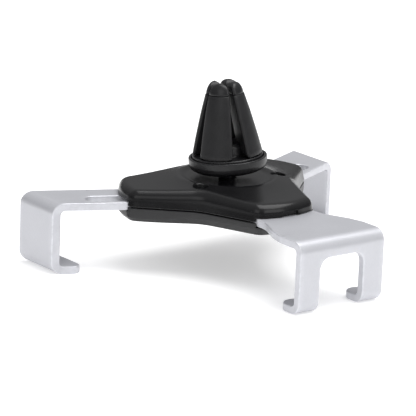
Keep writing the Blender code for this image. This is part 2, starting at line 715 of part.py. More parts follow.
def quadrant(radius, gap, steps=8, corner=0.35):
    """One jaw's cross-section: a quarter disc held off both slits."""
    reach = math.sqrt(radius**2 - gap**2)
    first = math.asin(gap / radius)
    out = [(gap + corner, gap), (reach - corner, gap)]
    for k in range(steps + 1):
        a = first + corner / radius + (math.pi / 2 - 2 * first - 2 * corner / radius) * k / steps
        out.append((radius * math.cos(a), radius * math.sin(a)))
    out += [(gap, reach - corner), (gap, gap + corner)]
    return np.array(out)


def jaw_rings(cut_back):
    """Rings of a jaw up to the sleeve's end, drawn in by cut_back."""
    rings = []
    for z in JAW_LEVELS:
        rings.append((z, quadrant(radius_at(z) - cut_back, slit_at(z) + cut_back)))
    return rings


def tip_rings(cut_back):
    base = quadrant(JAW_RADII[-1] - cut_back, SLIT_HIGH + cut_back)
    middle = base.mean(axis=0) * 0.86
    height = JAW_TIP - JAW_LEVELS[-1]
    rings = []
    for u in (0.0, 0.3, 0.55, 0.75, 0.9, 1.0):
        scale = math.sqrt(max(1 - u**2.6, 0.02))
        plan = middle * (1 - 0.06 * u) + (base - base.mean(axis=0) * 1.0) * scale + (base.mean(axis=0) - middle) * (1 - u)
        rings.append((JAW_LEVELS[-1] + height * u, plan))
    return rings


def quarter(points, number):
    return np.asarray(points) @ turn((0, 0, 1), 90 * number).T


# The hub holds the upper half of the ball's socket.
hub_profile = [(0, CUP_FLOOR + CLEAR)] + [(CORE_R, CUP_FLOOR + CLEAR), (CORE_R, 1.4), (CORE_R - 0.3, 1.7)]
hub_profile += [(5.2, 1.7), (5.2, 4.2), (4.2, 4.9), (0, 4.9)]
core = make("clip_core", turned(hub_profile, 64), NYLON, JAW_FRAME)
ball_hollow = [(0, -1.2)] + sphere_line(socket, -1.2, socket * 0.99, 10) + [(0, socket)]
for number in range(4):
    rings = [(1.2, quadrant(radius_at(1.8) - SLEEVE - CLEAR, SLIT_LOW + SLEEVE + CLEAR))]
    rings += jaw_rings(SLEEVE + CLEAR)
    low_z, low_plan = tip_rings(0.1)[0]
    rings += [(low_z + CLEAR / 2, rings[-1][1]), (low_z + CLEAR / 2 + 0.02, low_plan)]
    rings += [(z + CLEAR / 2 + 0.02, p) for z, p in tip_rings(0.1)[1:]]
    points, faces = loft([flat_ring(p, z) for z, p in rings])
    add(core, (quarter(points, number), faces), JAW_FRAME)
    outer = [(JAW_LEVELS[0] + CLEAR / 2, jaw_rings(0)[0][1])] + jaw_rings(0)[1:-1]
    outer += [(JAW_LEVELS[-1] - CLEAR / 2, jaw_rings(0)[-1][1])]
    points, faces = loft([flat_ring(p, z) for z, p in outer])
    sleeve = make(f"jaw_sleeve_{number + 1}", (quarter(points, number), faces), RUBBER, JAW_FRAME)
    inner = [(z, p) for z, p in jaw_rings(SLEEVE)]
    inner = [(inner[0][0] - 1, inner[0][1])] + inner + [(inner[-1][0] + 1, inner[-1][1])]
    points, faces = loft([flat_ring(p, z) for z, p in inner])
    cut(sleeve, (quarter(points, number), faces), JAW_FRAME)
    cut(sleeve, prism(circle(0, 0, 5.2 + CLEAR, 48), -1, 4.9 + CLEAR), JAW_FRAME)
cut(core, turned(ball_hollow, 40), JAW_FRAME)
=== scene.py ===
"""Phone holder for a car's air vent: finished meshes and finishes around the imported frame.

Sizes in the classes are in millimetres. X and Y are measured from the clip's axis and Z from the
hooks' feet, as in the part's own source. Each class builds one sub-assembly and dresses it.
"""

from __future__ import annotations

import logging
import math
from collections.abc import Mapping, Sequence
from dataclasses import dataclass, field
from enum import Enum

import bmesh
import bpy
import numpy as np
from mathutils import Euler, Matrix, Vector, geometry

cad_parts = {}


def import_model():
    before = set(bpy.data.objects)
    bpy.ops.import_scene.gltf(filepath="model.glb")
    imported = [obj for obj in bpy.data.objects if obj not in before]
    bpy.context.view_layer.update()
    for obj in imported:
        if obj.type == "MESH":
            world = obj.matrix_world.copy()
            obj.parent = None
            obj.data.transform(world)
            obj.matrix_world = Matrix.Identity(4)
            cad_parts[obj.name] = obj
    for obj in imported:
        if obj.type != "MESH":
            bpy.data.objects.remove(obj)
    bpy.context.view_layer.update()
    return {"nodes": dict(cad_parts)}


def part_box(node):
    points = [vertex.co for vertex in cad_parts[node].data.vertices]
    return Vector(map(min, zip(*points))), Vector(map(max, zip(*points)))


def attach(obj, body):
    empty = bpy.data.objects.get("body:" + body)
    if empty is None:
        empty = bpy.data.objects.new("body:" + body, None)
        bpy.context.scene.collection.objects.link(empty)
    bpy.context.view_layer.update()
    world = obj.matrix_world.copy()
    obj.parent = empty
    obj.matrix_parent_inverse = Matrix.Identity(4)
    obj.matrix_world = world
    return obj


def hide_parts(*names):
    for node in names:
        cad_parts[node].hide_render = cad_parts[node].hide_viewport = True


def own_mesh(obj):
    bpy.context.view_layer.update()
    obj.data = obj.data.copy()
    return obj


LOG = logging.getLogger("phone_holder")
MM = 0.001
Shape = tuple[np.ndarray, list[tuple[int, ...]]]


# ---------------------------------------------------------------- outlines and shapes


def rounded(corners: Sequence, radii: Sequence[float], steps: int = 8, closed: bool = True) -> np.ndarray:
    """Rounds the corners of a line.

    Args:
        corners: Points of the line, as pairs.
        radii: Radius at each corner, 0 for a plain point.
        steps: Segments in each arc.
        closed: Whether the line is a loop. An open line keeps its two ends.

    Returns:
        The points of the rounded line.
    """
    points = [np.asarray(c, float) for c in corners]
    count = len(points)
    out: list[np.ndarray] = []
    for i, p in enumerate(points):
        at_end = not closed and i in (0, count - 1)
        if radii[i] <= 0 or at_end:
            out.append(p)
            continue
        back, ahead = points[i - 1] - p, points[(i + 1) % count] - p
        far_back, far_ahead = np.linalg.norm(back), np.linalg.norm(ahead)
        back, ahead = back / far_back, ahead / far_ahead
        half = math.acos(float(np.clip(back @ ahead, -1, 1))) / 2
        if half > math.pi / 2 - 1e-4:
            out.append(p)
            continue
        room_back = far_back * (0.49 if radii[i - 1] > 0 else 0.98)
        room_ahead = far_ahead * (0.49 if radii[(i + 1) % count] > 0 else 0.98)
        cut = min(radii[i] / math.tan(half), room_back, room_ahead)
        r = cut * math.tan(half)
        middle = p + (back + ahead) / np.linalg.norm(back + ahead) * r / math.sin(half)
        start, end = p + back * cut - middle, p + ahead * cut - middle
        span = math.acos(float(np.clip(start @ end / r**2, -1, 1)))
        for k in range(steps + 1):
            u = k / steps
            arm = (math.sin((1 - u) * span) * start + math.sin(u * span) * end) / math.sin(span)
            out.append(middle + arm)
    return np.array(out)


def signed_area(loop: np.ndarray) -> float:
    """Twice the area inside a loop, positive when it runs anticlockwise."""
    x, y = loop.T
    return float(np.sum(x * np.roll(y, -1) - np.roll(x, -1) * y))


def outward(loop: np.ndarray) -> np.ndarray:
    """Unit normals of a loop, to the right of its direction: outwards on an anticlockwise one."""
    tangent = np.roll(loop, -1, 0) - np.roll(loop, 1, 0)
    tangent /= np.linalg.norm(tangent, axis=1)[:, None]
    return np.column_stack([tangent[:, 1], -tangent[:, 0]])


def inset(loop: np.ndarray, distance: float) -> np.ndarray:
    """The loop moved inwards along its normals."""
    side = 1.0 if signed_area(loop) > 0 else -1.0
    return loop - side * outward(loop) * distance


def resampled(loop: np.ndarray, count: int) -> np.ndarray:
    """The loop through evenly spaced points."""
    closed = np.vstack([loop, loop[:1]])
    steps = np.concatenate([[0.0], np.cumsum(np.linalg.norm(np.diff(closed, axis=0), axis=1))])
    at = np.linspace(0, steps[-1], count, endpoint=False)
    return np.column_stack([np.interp(at, steps, closed[:, k]) for k in (0, 1)])


def inside(points: np.ndarray, loop: np.ndarray) -> np.ndarray:
    """Which points lie within the loop."""
    x, y = points[:, 0][:, None], points[:, 1][:, None]
    ax, ay = loop.T
    bx, by = np.roll(ax, -1), np.roll(ay, -1)
    spans = (ay > y) != (by > y)
    rise = np.where(by == ay, 1e-12, by - ay)
    return (spans & (x < (bx - ax) * (y - ay) / rise + ax)).sum(axis=1) % 2 == 1


def circle(x: float, y: float, r: float, steps: int = 48) -> np.ndarray:
    """A round loop."""
    a = 2 * math.pi * np.arange(steps) / steps
    return np.column_stack([x + r * np.cos(a), y + r * np.sin(a)])


def slot(start: Sequence[float], end: Sequence[float], half: float, steps: int = 16) -> np.ndarray:
    """A slot with round ends between two centres."""
    first, last = np.asarray(start, float), np.asarray(end, float)
    along = (last - first) / np.linalg.norm(last - first)
    base = math.atan2(along[1], along[0])
    out = []
    for centre, lead in ((last, base - math.pi / 2), (first, base + math.pi / 2)):
        for k in range(steps + 1):
            a = lead + math.pi * k / steps
            out.append(centre + half * np.array([math.cos(a), math.sin(a)]))
    return np.array(out)


def flat_ring(loop: np.ndarray, z: float | np.ndarray) -> np.ndarray:
    """The loop at a height, or at a height for each point."""
    return np.column_stack([loop, np.broadcast_to(z, len(loop))])


def loft(rings: Sequence[np.ndarray], closed: bool = False) -> Shape:
    """A skin through rings of equal length.

    Args:
        rings: The rings, each an array of points.
        closed: Whether the last ring joins the first. If not, both ends are capped.

    Returns:
        Points and faces.
    """
    count = len(rings[0])
    faces: list[tuple[int, ...]] = []
    for level in range(len(rings) if closed else len(rings) - 1):
        low, high = level * count, (level + 1) % len(rings) * count
        for i in range(count):
            j = (i + 1) % count
            faces.append((low + i, low + j, high + j, high + i))
    if not closed:
        last = (len(rings) - 1) * count
        faces.append(tuple(reversed(range(count))))
        faces.append(tuple(range(last, last + count)))
    return np.vstack(rings), faces


def prism(loop: np.ndarray, low: float, high: float) -> Shape:
    """The loop extruded between two heights."""
    return loft([flat_ring(loop, low), flat_ring(loop, high)])


def spin(profile: np.ndarray, steps: int, closed: bool = False) -> Shape:
    """A (radius, height) line turned about Z. An open line starts and ends on the axis."""
    a = 2 * math.pi * np.arange(steps) / steps
    rings = [np.column_stack([r * np.cos(a), r * np.sin(a), np.full(steps, z)]) for r, z in profile]
    return loft(rings, closed)


def together(shapes: Sequence[Shape]) -> Shape:
    """Several shapes as one, left as separate bodies."""
    points, faces, offset = [], [], 0
    for p, f in shapes:
        points.append(p)
        faces += [tuple(i + offset for i in face) for face in f]
        offset += len(p)
    return np.vstack(points), faces


def moved(shape: Shape, x: float, y: float, z: float = 0.0) -> Shape:
    """The shape shifted."""
    return shape[0] + np.array([x, y, z]), shape[1]


# ---------------------------------------------------------------- places and the workshop


@dataclass(frozen=True)
class Place:
    """Where a shape's own axes stand: a rotation, then a shift, in millimetres."""

    turn: Matrix = field(default_factory=lambda: Matrix.Identity(3))
    shift: tuple[float, float, float] = (0.0, 0.0, 0.0)


@dataclass(frozen=True)
class Layout:
    """What the pieces share, read from the frame's own boxes."""

    axis_x: float
    axis_y: float
    plate_top: float
    wall_x: float
    wall_y: float
    rim: float
    front_face: float
    cam_top: float
    spring: tuple[float, float, float, float]

    @classmethod
    def from_frame(cls) -> Layout:
        """Reads the boxes of the nodes that set the layout.

        Returns:
            The layout, in millimetres from the clip's axis.
        """
        stud_low, stud_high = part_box("ball_stud")
        axis = (stud_low + stud_high) / 2 / MM
        arm_low, arm_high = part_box("bottom_arm")
        side_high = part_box("side_arm_right")[1]
        spring_low, spring_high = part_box("return_spring")
        return cls(
            axis_x=axis.x,
            axis_y=axis.y,
            plate_top=arm_high.z / MM,
            wall_x=side_high.x / MM - axis.x,
            wall_y=axis.y - arm_low.y / MM,
            rim=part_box("rear_shell")[0].z / MM,
            front_face=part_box("front_shell")[0].z / MM,
            cam_top=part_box("cam_plate")[1].z / MM,
            spring=(
                spring_low.y / MM - axis.y,
                spring_high.y / MM - axis.y,
                spring_low.z / MM,
                spring_high.z / MM,
            ),
        )


class Operation(Enum):
    """What a second shape does to the first."""

    CUT = "DIFFERENCE"
    ADD = "UNION"
    KEEP = "INTERSECT"


class Workshop:
    """Makes objects at the origin, with each piece's place in its mesh."""

    def __init__(self, layout: Layout) -> None:
        """Takes the layout, whose axis every shape is measured from."""
        self.layout = layout
        self.offset = np.array([layout.axis_x, layout.axis_y, 0.0])

    def world(self, points: np.ndarray, place: Place | None = None) -> np.ndarray:
        """Points of a shape as world points in metres."""
        at = place or Place()
        turned = np.asarray(points, float) @ np.array(at.turn).T
        return (turned + np.array(at.shift) + self.offset) * MM

    def raw(self, name: str, points: np.ndarray, faces: Sequence[Sequence[int]]) -> bpy.types.Object:
        """An object from points in metres, with doubles merged and faces outwards.

        Args:
            name: The piece's name.
            points: World points, in metres.
            faces: Faces, as indices of points.

        Returns:
            The object, linked to the scene.
        """
        mesh = bpy.data.meshes.new(name)
        mesh.from_pydata([tuple(p) for p in points], [], [tuple(int(i) for i in f) for f in faces])
        work = bmesh.new()
        work.from_mesh(mesh)
        bmesh.ops.remove_doubles(work, verts=work.verts, dist=1e-7)
        bmesh.ops.recalc_face_normals(work, faces=work.faces)
        if work.calc_volume(signed=True) < 0:
            bmesh.ops.reverse_faces(work, faces=work.faces)
        work.to_mesh(mesh)
        work.free()
        obj = bpy.data.objects.new(name, mesh)
        bpy.context.scene.collection.objects.link(obj)
        return obj

    def solid(self, name: str, shape: Shape, place: Place | None = None) -> bpy.types.Object:
        """An object from a shape in millimetres."""
        return self.raw(name, self.world(shape[0], place), shape[1])

    def change(
        self, obj: bpy.types.Object, operation: Operation, shapes: Sequence[Shape], place: Place | None = None
    ) -> None:
        """Cuts, adds or keeps a shape by an exact Boolean, and applies it.

        Args:
            obj: The piece that changes.
            operation: What the other shapes do to it.
            shapes: Bodies that don't touch each other.
            place: Where the shapes stand.
        """
        helper = self.solid("helper", together(shapes), place)
        modifier = obj.modifiers.new("shape", "BOOLEAN")
        modifier.operation = operation.value
        modifier.solver = "EXACT"
        modifier.object = helper
        bake(obj)
        bpy.data.objects.remove(helper)

    def soften(self, obj: bpy.types.Object, width: float, angle: float, segments: int = 2) -> None:
        """Rounds the edges sharper than an angle, in millimetres and degrees."""
        modifier = obj.modifiers.new("edges", "BEVEL")
        modifier.limit_method = "ANGLE"
        modifier.angle_limit = math.radians(angle)
        modifier.width = width * MM
        modifier.segments = segments
        modifier.miter_outer = "MITER_ARC"
        modifier.use_clamp_overlap = True
        bake(obj)

    def smooth(self, obj: bpy.types.Object, angle: float = 32.0) -> bpy.types.Object:
        """Shades the piece smooth, except at edges sharper than the angle."""
        obj.data.shade_smooth()
        obj.data.set_sharp_from_angle(angle=math.radians(angle))
        return obj


def bake(obj: bpy.types.Object) -> bpy.types.Object:
    """Turns an object's modifiers into its mesh."""
    graph = bpy.context.evaluated_depsgraph_get()
    mesh = bpy.data.meshes.new_from_object(
        obj.evaluated_get(graph), preserve_all_data_layers=True, depsgraph=graph
    )
    obj.modifiers.clear()
    old = obj.data
    mesh.name = old.name
    obj.data = mesh
    bpy.data.meshes.remove(old)
    return obj


# ---------------------------------------------------------------- shader graphs


class Value:
    """An output of a shader node, which takes part in Python arithmetic."""

    def __init__(self, graph: Graph, socket: bpy.types.NodeSocket) -> None:
        """Keeps the graph that new nodes go to, and the socket."""
        self.graph = graph
        self.socket = socket

    def _math(self, operation: str, *terms: Value | float) -> Value:
        """A Math node over the terms."""
        inputs = dict(enumerate(terms))
        return self.graph.node("ShaderNodeMath", {"operation": operation}, inputs)

    def __add__(self, other: Value | float) -> Value:
        """Sum."""
        return self._math("ADD", self, other)

    def __radd__(self, other: float) -> Value:
        """Sum, with the number first."""
        return self._math("ADD", other, self)

    def __sub__(self, other: Value | float) -> Value:
        """Difference."""
        return self._math("SUBTRACT", self, other)

    def __rsub__(self, other: float) -> Value:
        """Difference, with the number first."""
        return self._math("SUBTRACT", other, self)

    def __mul__(self, other: Value | float) -> Value:
        """Product."""
        return self._math("MULTIPLY", self, other)

    def __rmul__(self, other: float) -> Value:
        """Product, with the number first."""
        return self._math("MULTIPLY", other, self)

    def __pow__(self, other: Value | float) -> Value:
        """Power."""
        return self._math("POWER", self, other)

    def clamped(self, low: float = 0.0, high: float = 1.0) -> Value:
        """The value held between two limits."""
        return self._math("MINIMUM", self._math("MAXIMUM", self, low), high)

    def between(self, low: float, high: float) -> Value:
        """0 under low, 1 over high, and even in between."""
        return ((self - low) * (1.0 / (high - low))).clamped()


class Graph:
    """A material's node tree, with its Principled shader."""

    def __init__(self, name: str) -> None:
        """Makes the material."""
        self.material = bpy.data.materials.new(name)
        self.material.use_nodes = True
        self.tree = self.material.node_tree
        self.shader = next(n for n in self.tree.nodes if n.type == "BSDF_PRINCIPLED")

    def feed(self, socket: bpy.types.NodeSocket, value: object) -> None:
        """Links a value to a socket, or sets a constant on it."""
        if isinstance(value, Value):
            self.tree.links.new(value.socket, socket)
        else:
            socket.default_value = value

    def node(
        self,
        kind: str,
        settings: Mapping[str, object] | None = None,
        inputs: Mapping[object, object] | None = None,
        out: int | str = 0,
    ) -> Value:
        """Adds a node.

        Args:
            kind: The node's type.
            settings: Its settings, which are set first. A ramp's are under "stops".
            inputs: Values or links of its sockets, by name or number.
            out: The output that is returned.

        Returns:
            The output as a value.
        """
        made = self.tree.nodes.new(kind)
        for key, setting in (settings or {}).items():
            if key == "stops":
                ramp = made.color_ramp.elements
                while len(ramp) < len(setting):
                    ramp.new(0.5)
                for stop, (at, colour) in zip(ramp, setting):
                    stop.position, stop.color = at, colour
            else:
                setattr(made, key, setting)
        for key, value in (inputs or {}).items():
            self.feed(made.inputs[key], value)
        return Value(self, made.outputs[out])

    def place(self) -> Value:
        """The piece's own coordinates, in metres."""
        return self.node("ShaderNodeTexCoord", out="Object")

    def noise(self, size_mm: float, detail: float = 3.0, rough: float = 0.55, seed: float = 0.0) -> Value:
        """Noise whose lumps are about this many millimetres across."""
        return self.node(
            "ShaderNodeTexNoise",
            {"noise_dimensions": "4D"},
            {
                "Vector": self.place(),
                "W": seed,
                "Scale": 1.0 / (size_mm * MM),
                "Detail": detail,
                "Roughness": rough,
            },
            "Fac",
        )

    def mix(self, factor: Value | float, first: object, second: object) -> Value:
        """A colour between two colours."""
        return self.node("ShaderNodeMix", {"data_type": "RGBA"}, {0: factor, 6: first, 7: second}, 2)

    def attribute(self, name: str) -> Value:
        """A number stored on the mesh."""
        return self.node("ShaderNodeAttribute", {"attribute_name": name}, {}, "Fac")

    def bump(self, height: Value, depth_mm: float, strength: float = 1.0) -> Value:
        """A normal from a height, which is 0 to 1 over this depth."""
        inputs = {"Height": height, "Distance": depth_mm * MM, "Strength": strength}
        return self.node("ShaderNodeBump", {}, inputs, "Normal")


class Grain(Enum):
    """How a surface was made, which sets its fine relief."""

    BLASTED = "blasted"
    SPARKED = "sparked"
    TURNED = "turned"
    MATT = "matt"


@dataclass(frozen=True)
class Finish:
    """One finish: its colour, its gloss and the fine detail that varies over it."""

    name: str
    colour: tuple[float, float, float]
    roughness: float
    metallic: float = 0.0
    specular: float = 0.5
    coat: float = 0.0
    grain: Grain = Grain.SPARKED
    grain_mm: float = 0.25
    grain_depth: float = 0.006
    tint: float = 0.12
    cloud_mm: float = 9.0
    gloss_change: float = 0.08
    # How much lighter rounded edges are painted: a painted edge highlight together with wear.
    edge_highlight_and_wear: float = 0.0

    def _relief(self, graph: Graph) -> Value:
        """Height of the fine grain, 0 to 1."""
        fine = graph.noise(self.grain_mm, 2.0, 0.6)
        if self.grain is Grain.BLASTED:
            pits = graph.node(
                "ShaderNodeTexVoronoi",
                {"feature": "F1"},
                {"Vector": graph.place(), "Scale": 1.0 / (self.grain_mm * 1.7 * MM)},
                "Distance",
            )
            return fine * 0.65 + pits * 0.35
        if self.grain is Grain.TURNED:
            bands = graph.node(
                "ShaderNodeTexWave",
                {"wave_type": "BANDS", "bands_direction": "Z", "wave_profile": "SIN"},
                {"Vector": graph.place(), "Scale": 0.35 / (self.grain_mm * MM), "Distortion": 0.6},
                "Fac",
            )
            return bands * 0.6 + fine * 0.4
        if self.grain is Grain.MATT:
            coarse = graph.noise(self.grain_mm * 4, 2.0, 0.5, 3.0)
            return fine * 0.6 + coarse * 0.4
        return fine

    def make(self) -> bpy.types.Material:
        """Builds the material.

        Returns:
            The material, with colour, gloss and relief from its nodes.
        """
        graph = Graph(self.name)
        shader = graph.shader
        relief = self._relief(graph)
        cloud = graph.noise(self.cloud_mm, 4.0, 0.6, 1.0)
        fleck = graph.noise(self.grain_mm * 2.2, 2.0, 0.5, 5.0)
        low = (*(c * (1 - self.tint) for c in self.colour), 1.0)
        high = (*(min(1.0, c * (1 + self.tint)) for c in self.colour), 1.0)
        colour = graph.mix((cloud * 0.6 + fleck * 0.4).between(0.35, 0.65), low, high)
        rough = self.roughness + (cloud - 0.5) * self.gloss_change
        rough = rough + (relief - 0.5) * (self.gloss_change * 0.7)
        # Rounded edges, in patches set by noise, are painted lighter and a little glossier: a painted edge
        # highlight together with rubbed wear.
        if self.edge_highlight_and_wear > 0:
            highlight_and_wear_mask = graph.attribute("edge") * graph.noise(1.6, 3.0, 0.6, 7.0).between(0.25, 0.6)
            bright = (*(min(1.0, c * (1 + self.edge_highlight_and_wear)) for c in self.colour), 1.0)
            colour = graph.mix(highlight_and_wear_mask, colour, bright)
            rough = rough - highlight_and_wear_mask * 0.1
        graph.feed(shader.inputs["Base Color"], colour)
        graph.feed(shader.inputs["Roughness"], rough.clamped(0.08, 0.95))
        graph.feed(shader.inputs["Normal"], graph.bump(relief, self.grain_depth))
        shader.inputs["Metallic"].default_value = self.metallic
        shader.inputs["Specular IOR Level"].default_value = self.specular
        shader.inputs["Coat Weight"].default_value = self.coat
        shader.inputs["Coat Roughness"].default_value = 0.12
        graph.material.diffuse_color = (*self.colour, 1.0)
        return graph.material


class Stock(Enum):
    """The finishes of the holder."""

    ALUMINIUM = Finish(
        "satin_anodised_aluminium", (0.55, 0.555, 0.588), 0.40, metallic=0.38, specular=0.5,
        grain=Grain.BLASTED, grain_mm=0.16, grain_depth=0.005, tint=0.035, cloud_mm=12.0,
        gloss_change=0.06, edge_highlight_and_wear=0.25,
    )
    REAR_PLASTIC = Finish(
        "rear_shell_satin_plastic", (0.006, 0.006, 0.0066), 0.23, specular=0.3,
        grain=Grain.SPARKED, grain_mm=0.2, grain_depth=0.006, tint=0.2, edge_highlight_and_wear=0.6,
    )
    FRONT_PLASTIC = Finish(
        "front_shell_satin_plastic", (0.0145, 0.0145, 0.0155), 0.4, specular=0.42,
        grain=Grain.SPARKED, grain_mm=0.22, grain_depth=0.007, tint=0.2, edge_highlight_and_wear=0.5,
    )
    PAD_RUBBER = Finish(
        "pad_soft_rubber", (0.03, 0.03, 0.031), 0.8, specular=0.3,
        grain=Grain.MATT, grain_mm=0.3, grain_depth=0.02, tint=0.25,
    )
    SLEEVE_RUBBER = Finish(
        "sleeve_soft_rubber", (0.0085, 0.0085, 0.0095), 0.46, specular=0.36,
        grain=Grain.MATT, grain_mm=0.16, grain_depth=0.01, tint=0.25, gloss_change=0.14, cloud_mm=3.0,
    )
    STEEL = Finish(
        "turned_steel", (0.56, 0.56, 0.57), 0.26, metallic=1.0,
        grain=Grain.TURNED, grain_mm=0.12, grain_depth=0.003, tint=0.08,
    )
    BLACK_STEEL = Finish(
        "black_oxide_steel", (0.045, 0.045, 0.05), 0.34, metallic=0.85,
        grain=Grain.MATT, grain_mm=0.14, grain_depth=0.004, tint=0.3,
    )
    ACETAL = Finish(
        "natural_acetal", (0.72, 0.72, 0.68), 0.42, specular=0.5,
        grain=Grain.SPARKED, grain_mm=0.3, grain_depth=0.004, tint=0.04,
    )
    CLIP_PLASTIC = Finish(
        "clip_gloss_plastic", (0.008, 0.008, 0.009), 0.34, specular=0.4,
        grain=Grain.SPARKED, grain_mm=0.3, grain_depth=0.002, tint=0.2, gloss_change=0.12, edge_highlight_and_wear=0.4,
    )


class Dresser:
    """Makes each finish once, and puts it on pieces with their body and the nodes they stand for."""

    def __init__(self) -> None:
        """Builds every finish."""
        self.materials = {stock: stock.value.make() for stock in Stock}

    def dress(self, obj: bpy.types.Object, stock: Stock) -> bpy.types.Object:
        """Gives the piece one finish."""
        obj.data.materials.clear()
        obj.data.materials.append(self.materials[stock])
        return obj

    def hang(self, obj: bpy.types.Object, stock: Stock, body: str, *nodes: str) -> bpy.types.Object:
        """Dresses a new piece, lets it ride on a body and stand for nodes.

        Args:
            obj: The finished piece.
            stock: Its finish.
            body: The frame's body that it moves with.
            *nodes: The frame's nodes that it replaces.

        Returns:
            The piece.
        """
        self.dress(obj, stock)
        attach(obj, body)
        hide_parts(*nodes)
        LOG.info("%s: %d faces, rides on %s", obj.name, len(obj.data.polygons), body)
        return obj

    def keep(self, nodes: Mapping[str, bpy.types.Object], name: str, stock: Stock) -> None:
        """Gives a node of the frame its finish, and leaves its shape as it is."""
        obj = nodes[name]
        material = self.materials[stock]
        for entry in obj.material_slots:
            entry.material = material
        if not obj.material_slots:
            obj.data.materials.append(material)
        LOG.info("%s: kept from the frame", name)


# ---------------------------------------------------------------- geometry node trees


class Tree:
    """A geometry node tree with named inputs, and its use on an object."""

    def __init__(self, name: str, inputs: Mapping[str, tuple[str, object]]) -> None:
        """Makes the tree.

        Args:
            name: The tree's name.
            inputs: Each input's socket type and default.
        """
        self.tree = bpy.data.node_groups.new(name, "GeometryNodeTree")
        face = self.tree.interface
        face.new_socket("Geometry", in_out="INPUT", socket_type="NodeSocketGeometry")
        face.new_socket("Geometry", in_out="OUTPUT", socket_type="NodeSocketGeometry")
        for label, (kind, value) in inputs.items():
            made = face.new_socket(label, in_out="INPUT", socket_type=kind)
            if value is not None:
                made.default_value = value
        self.inlet = self.tree.nodes.new("NodeGroupInput")
        self.outlet = self.tree.nodes.new("NodeGroupOutput")

    def entry(self, label: str) -> bpy.types.NodeSocket:
        """One of the tree's inputs, inside it."""
        return self.inlet.outputs[label]

    def node(
        self,
        kind: str,
        settings: Mapping[str, object] | None = None,
        inputs: Mapping[object, object] | None = None,
    ) -> bpy.types.Node:
        """Adds a node with its settings, then its values or links."""
        made = self.tree.nodes.new(kind)
        for key, value in (settings or {}).items():
            setattr(made, key, value)
        for key, value in (inputs or {}).items():
            if isinstance(value, bpy.types.NodeSocket):
                self.tree.links.new(value, made.inputs[key])
            else:
                made.inputs[key].default_value = value
        return made

    def math(self, operation: str, first: object, second: object) -> bpy.types.NodeSocket:
        """A Math node's output."""
        return self.node("ShaderNodeMath", {"operation": operation}, {0: first, 1: second}).outputs[0]

    def close(self, shape: bpy.types.NodeSocket) -> None:
        """Ends the tree with real geometry and its material."""
        real = self.node("GeometryNodeRealizeInstances", None, {"Geometry": shape})
        painted = self.node(
            "GeometryNodeSetMaterial",
            None,
            {"Geometry": real.outputs[0], "Material": self.entry("Material")},
        )
        self.tree.links.new(painted.outputs[0], self.outlet.inputs[0])

    def apply(self, obj: bpy.types.Object, values: Mapping[str, object]) -> bpy.types.Object:
        """Runs the tree on an object and keeps the result as its mesh.

        Args:
            obj: The object whose mesh is the tree's input.
            values: Values of the named inputs.

        Returns:
            The object, with a plain mesh.
        """
        modifier = obj.modifiers.new("repeat", "NODES")
        modifier.node_group = self.tree
        sockets = {s.name: s.identifier for s in self.tree.interface.items_tree if s.in_out == "INPUT"}
        for label, value in values.items():
            modifier[sockets[label]] = value
        obj.update_tag()
        return bake(obj)


def ring_tree() -> Tree:
    """A tree that repeats the object round its own Z, then puts the ring in place.

    Returns:
        The tree, with inputs Count, Start, Shift, Turn and Material.
    """
    made = Tree(
        "repeat_round_axis",
        {
            "Count": ("NodeSocketInt", 4),
            "Start": ("NodeSocketFloat", 0.0),
            "Shift": ("NodeSocketVector", (0.0, 0.0, 0.0)),
            "Turn": ("NodeSocketVector", (0.0, 0.0, 0.0)),
            "Material": ("NodeSocketMaterial", None),
        },
    )
    points = made.node("GeometryNodePoints", None, {"Count": made.entry("Count")})
    index = made.node("GeometryNodeInputIndex").outputs[0]
    step = made.math("DIVIDE", 2 * math.pi, made.entry("Count"))
    angle = made.math("ADD", made.math("MULTIPLY", index, step), made.entry("Start"))
    turn = made.node("ShaderNodeCombineXYZ", None, {"Z": angle})
    copies = made.node(
        "GeometryNodeInstanceOnPoints",
        None,
        {"Points": points.outputs[0], "Instance": made.entry("Geometry"), "Rotation": turn.outputs[0]},
    )
    placed = made.node(
        "GeometryNodeTransform",
        None,
        {
            "Geometry": copies.outputs[0],
            "Translation": made.entry("Shift"),
            "Rotation": made.entry("Turn"),
        },
    )
    made.close(placed.outputs[0])
    return made


def scatter_tree() -> Tree:
    """A tree that sets a copy of a pattern piece on each of the object's points.

    Returns:
        The tree, with inputs Pattern, Spin and Material.
    """
    made = Tree(
        "pattern_on_points",
        {
            "Pattern": ("NodeSocketObject", None),
            "Spin": ("NodeSocketFloat", 0.0),
            "Material": ("NodeSocketMaterial", None),
        },
    )
    pattern = made.node("GeometryNodeObjectInfo", None, {"Object": made.entry("Pattern")})
    index = made.node("GeometryNodeInputIndex").outputs[0]
    turn = made.node("ShaderNodeCombineXYZ", None, {"Z": made.math("MULTIPLY", index, made.entry("Spin"))})
    copies = made.node(
        "GeometryNodeInstanceOnPoints",
        None,
        {
            "Points": made.entry("Geometry"),
            "Instance": pattern.outputs["Geometry"],
            "Rotation": turn.outputs[0],
        },
    )
    made.close(copies.outputs[0])
    return made


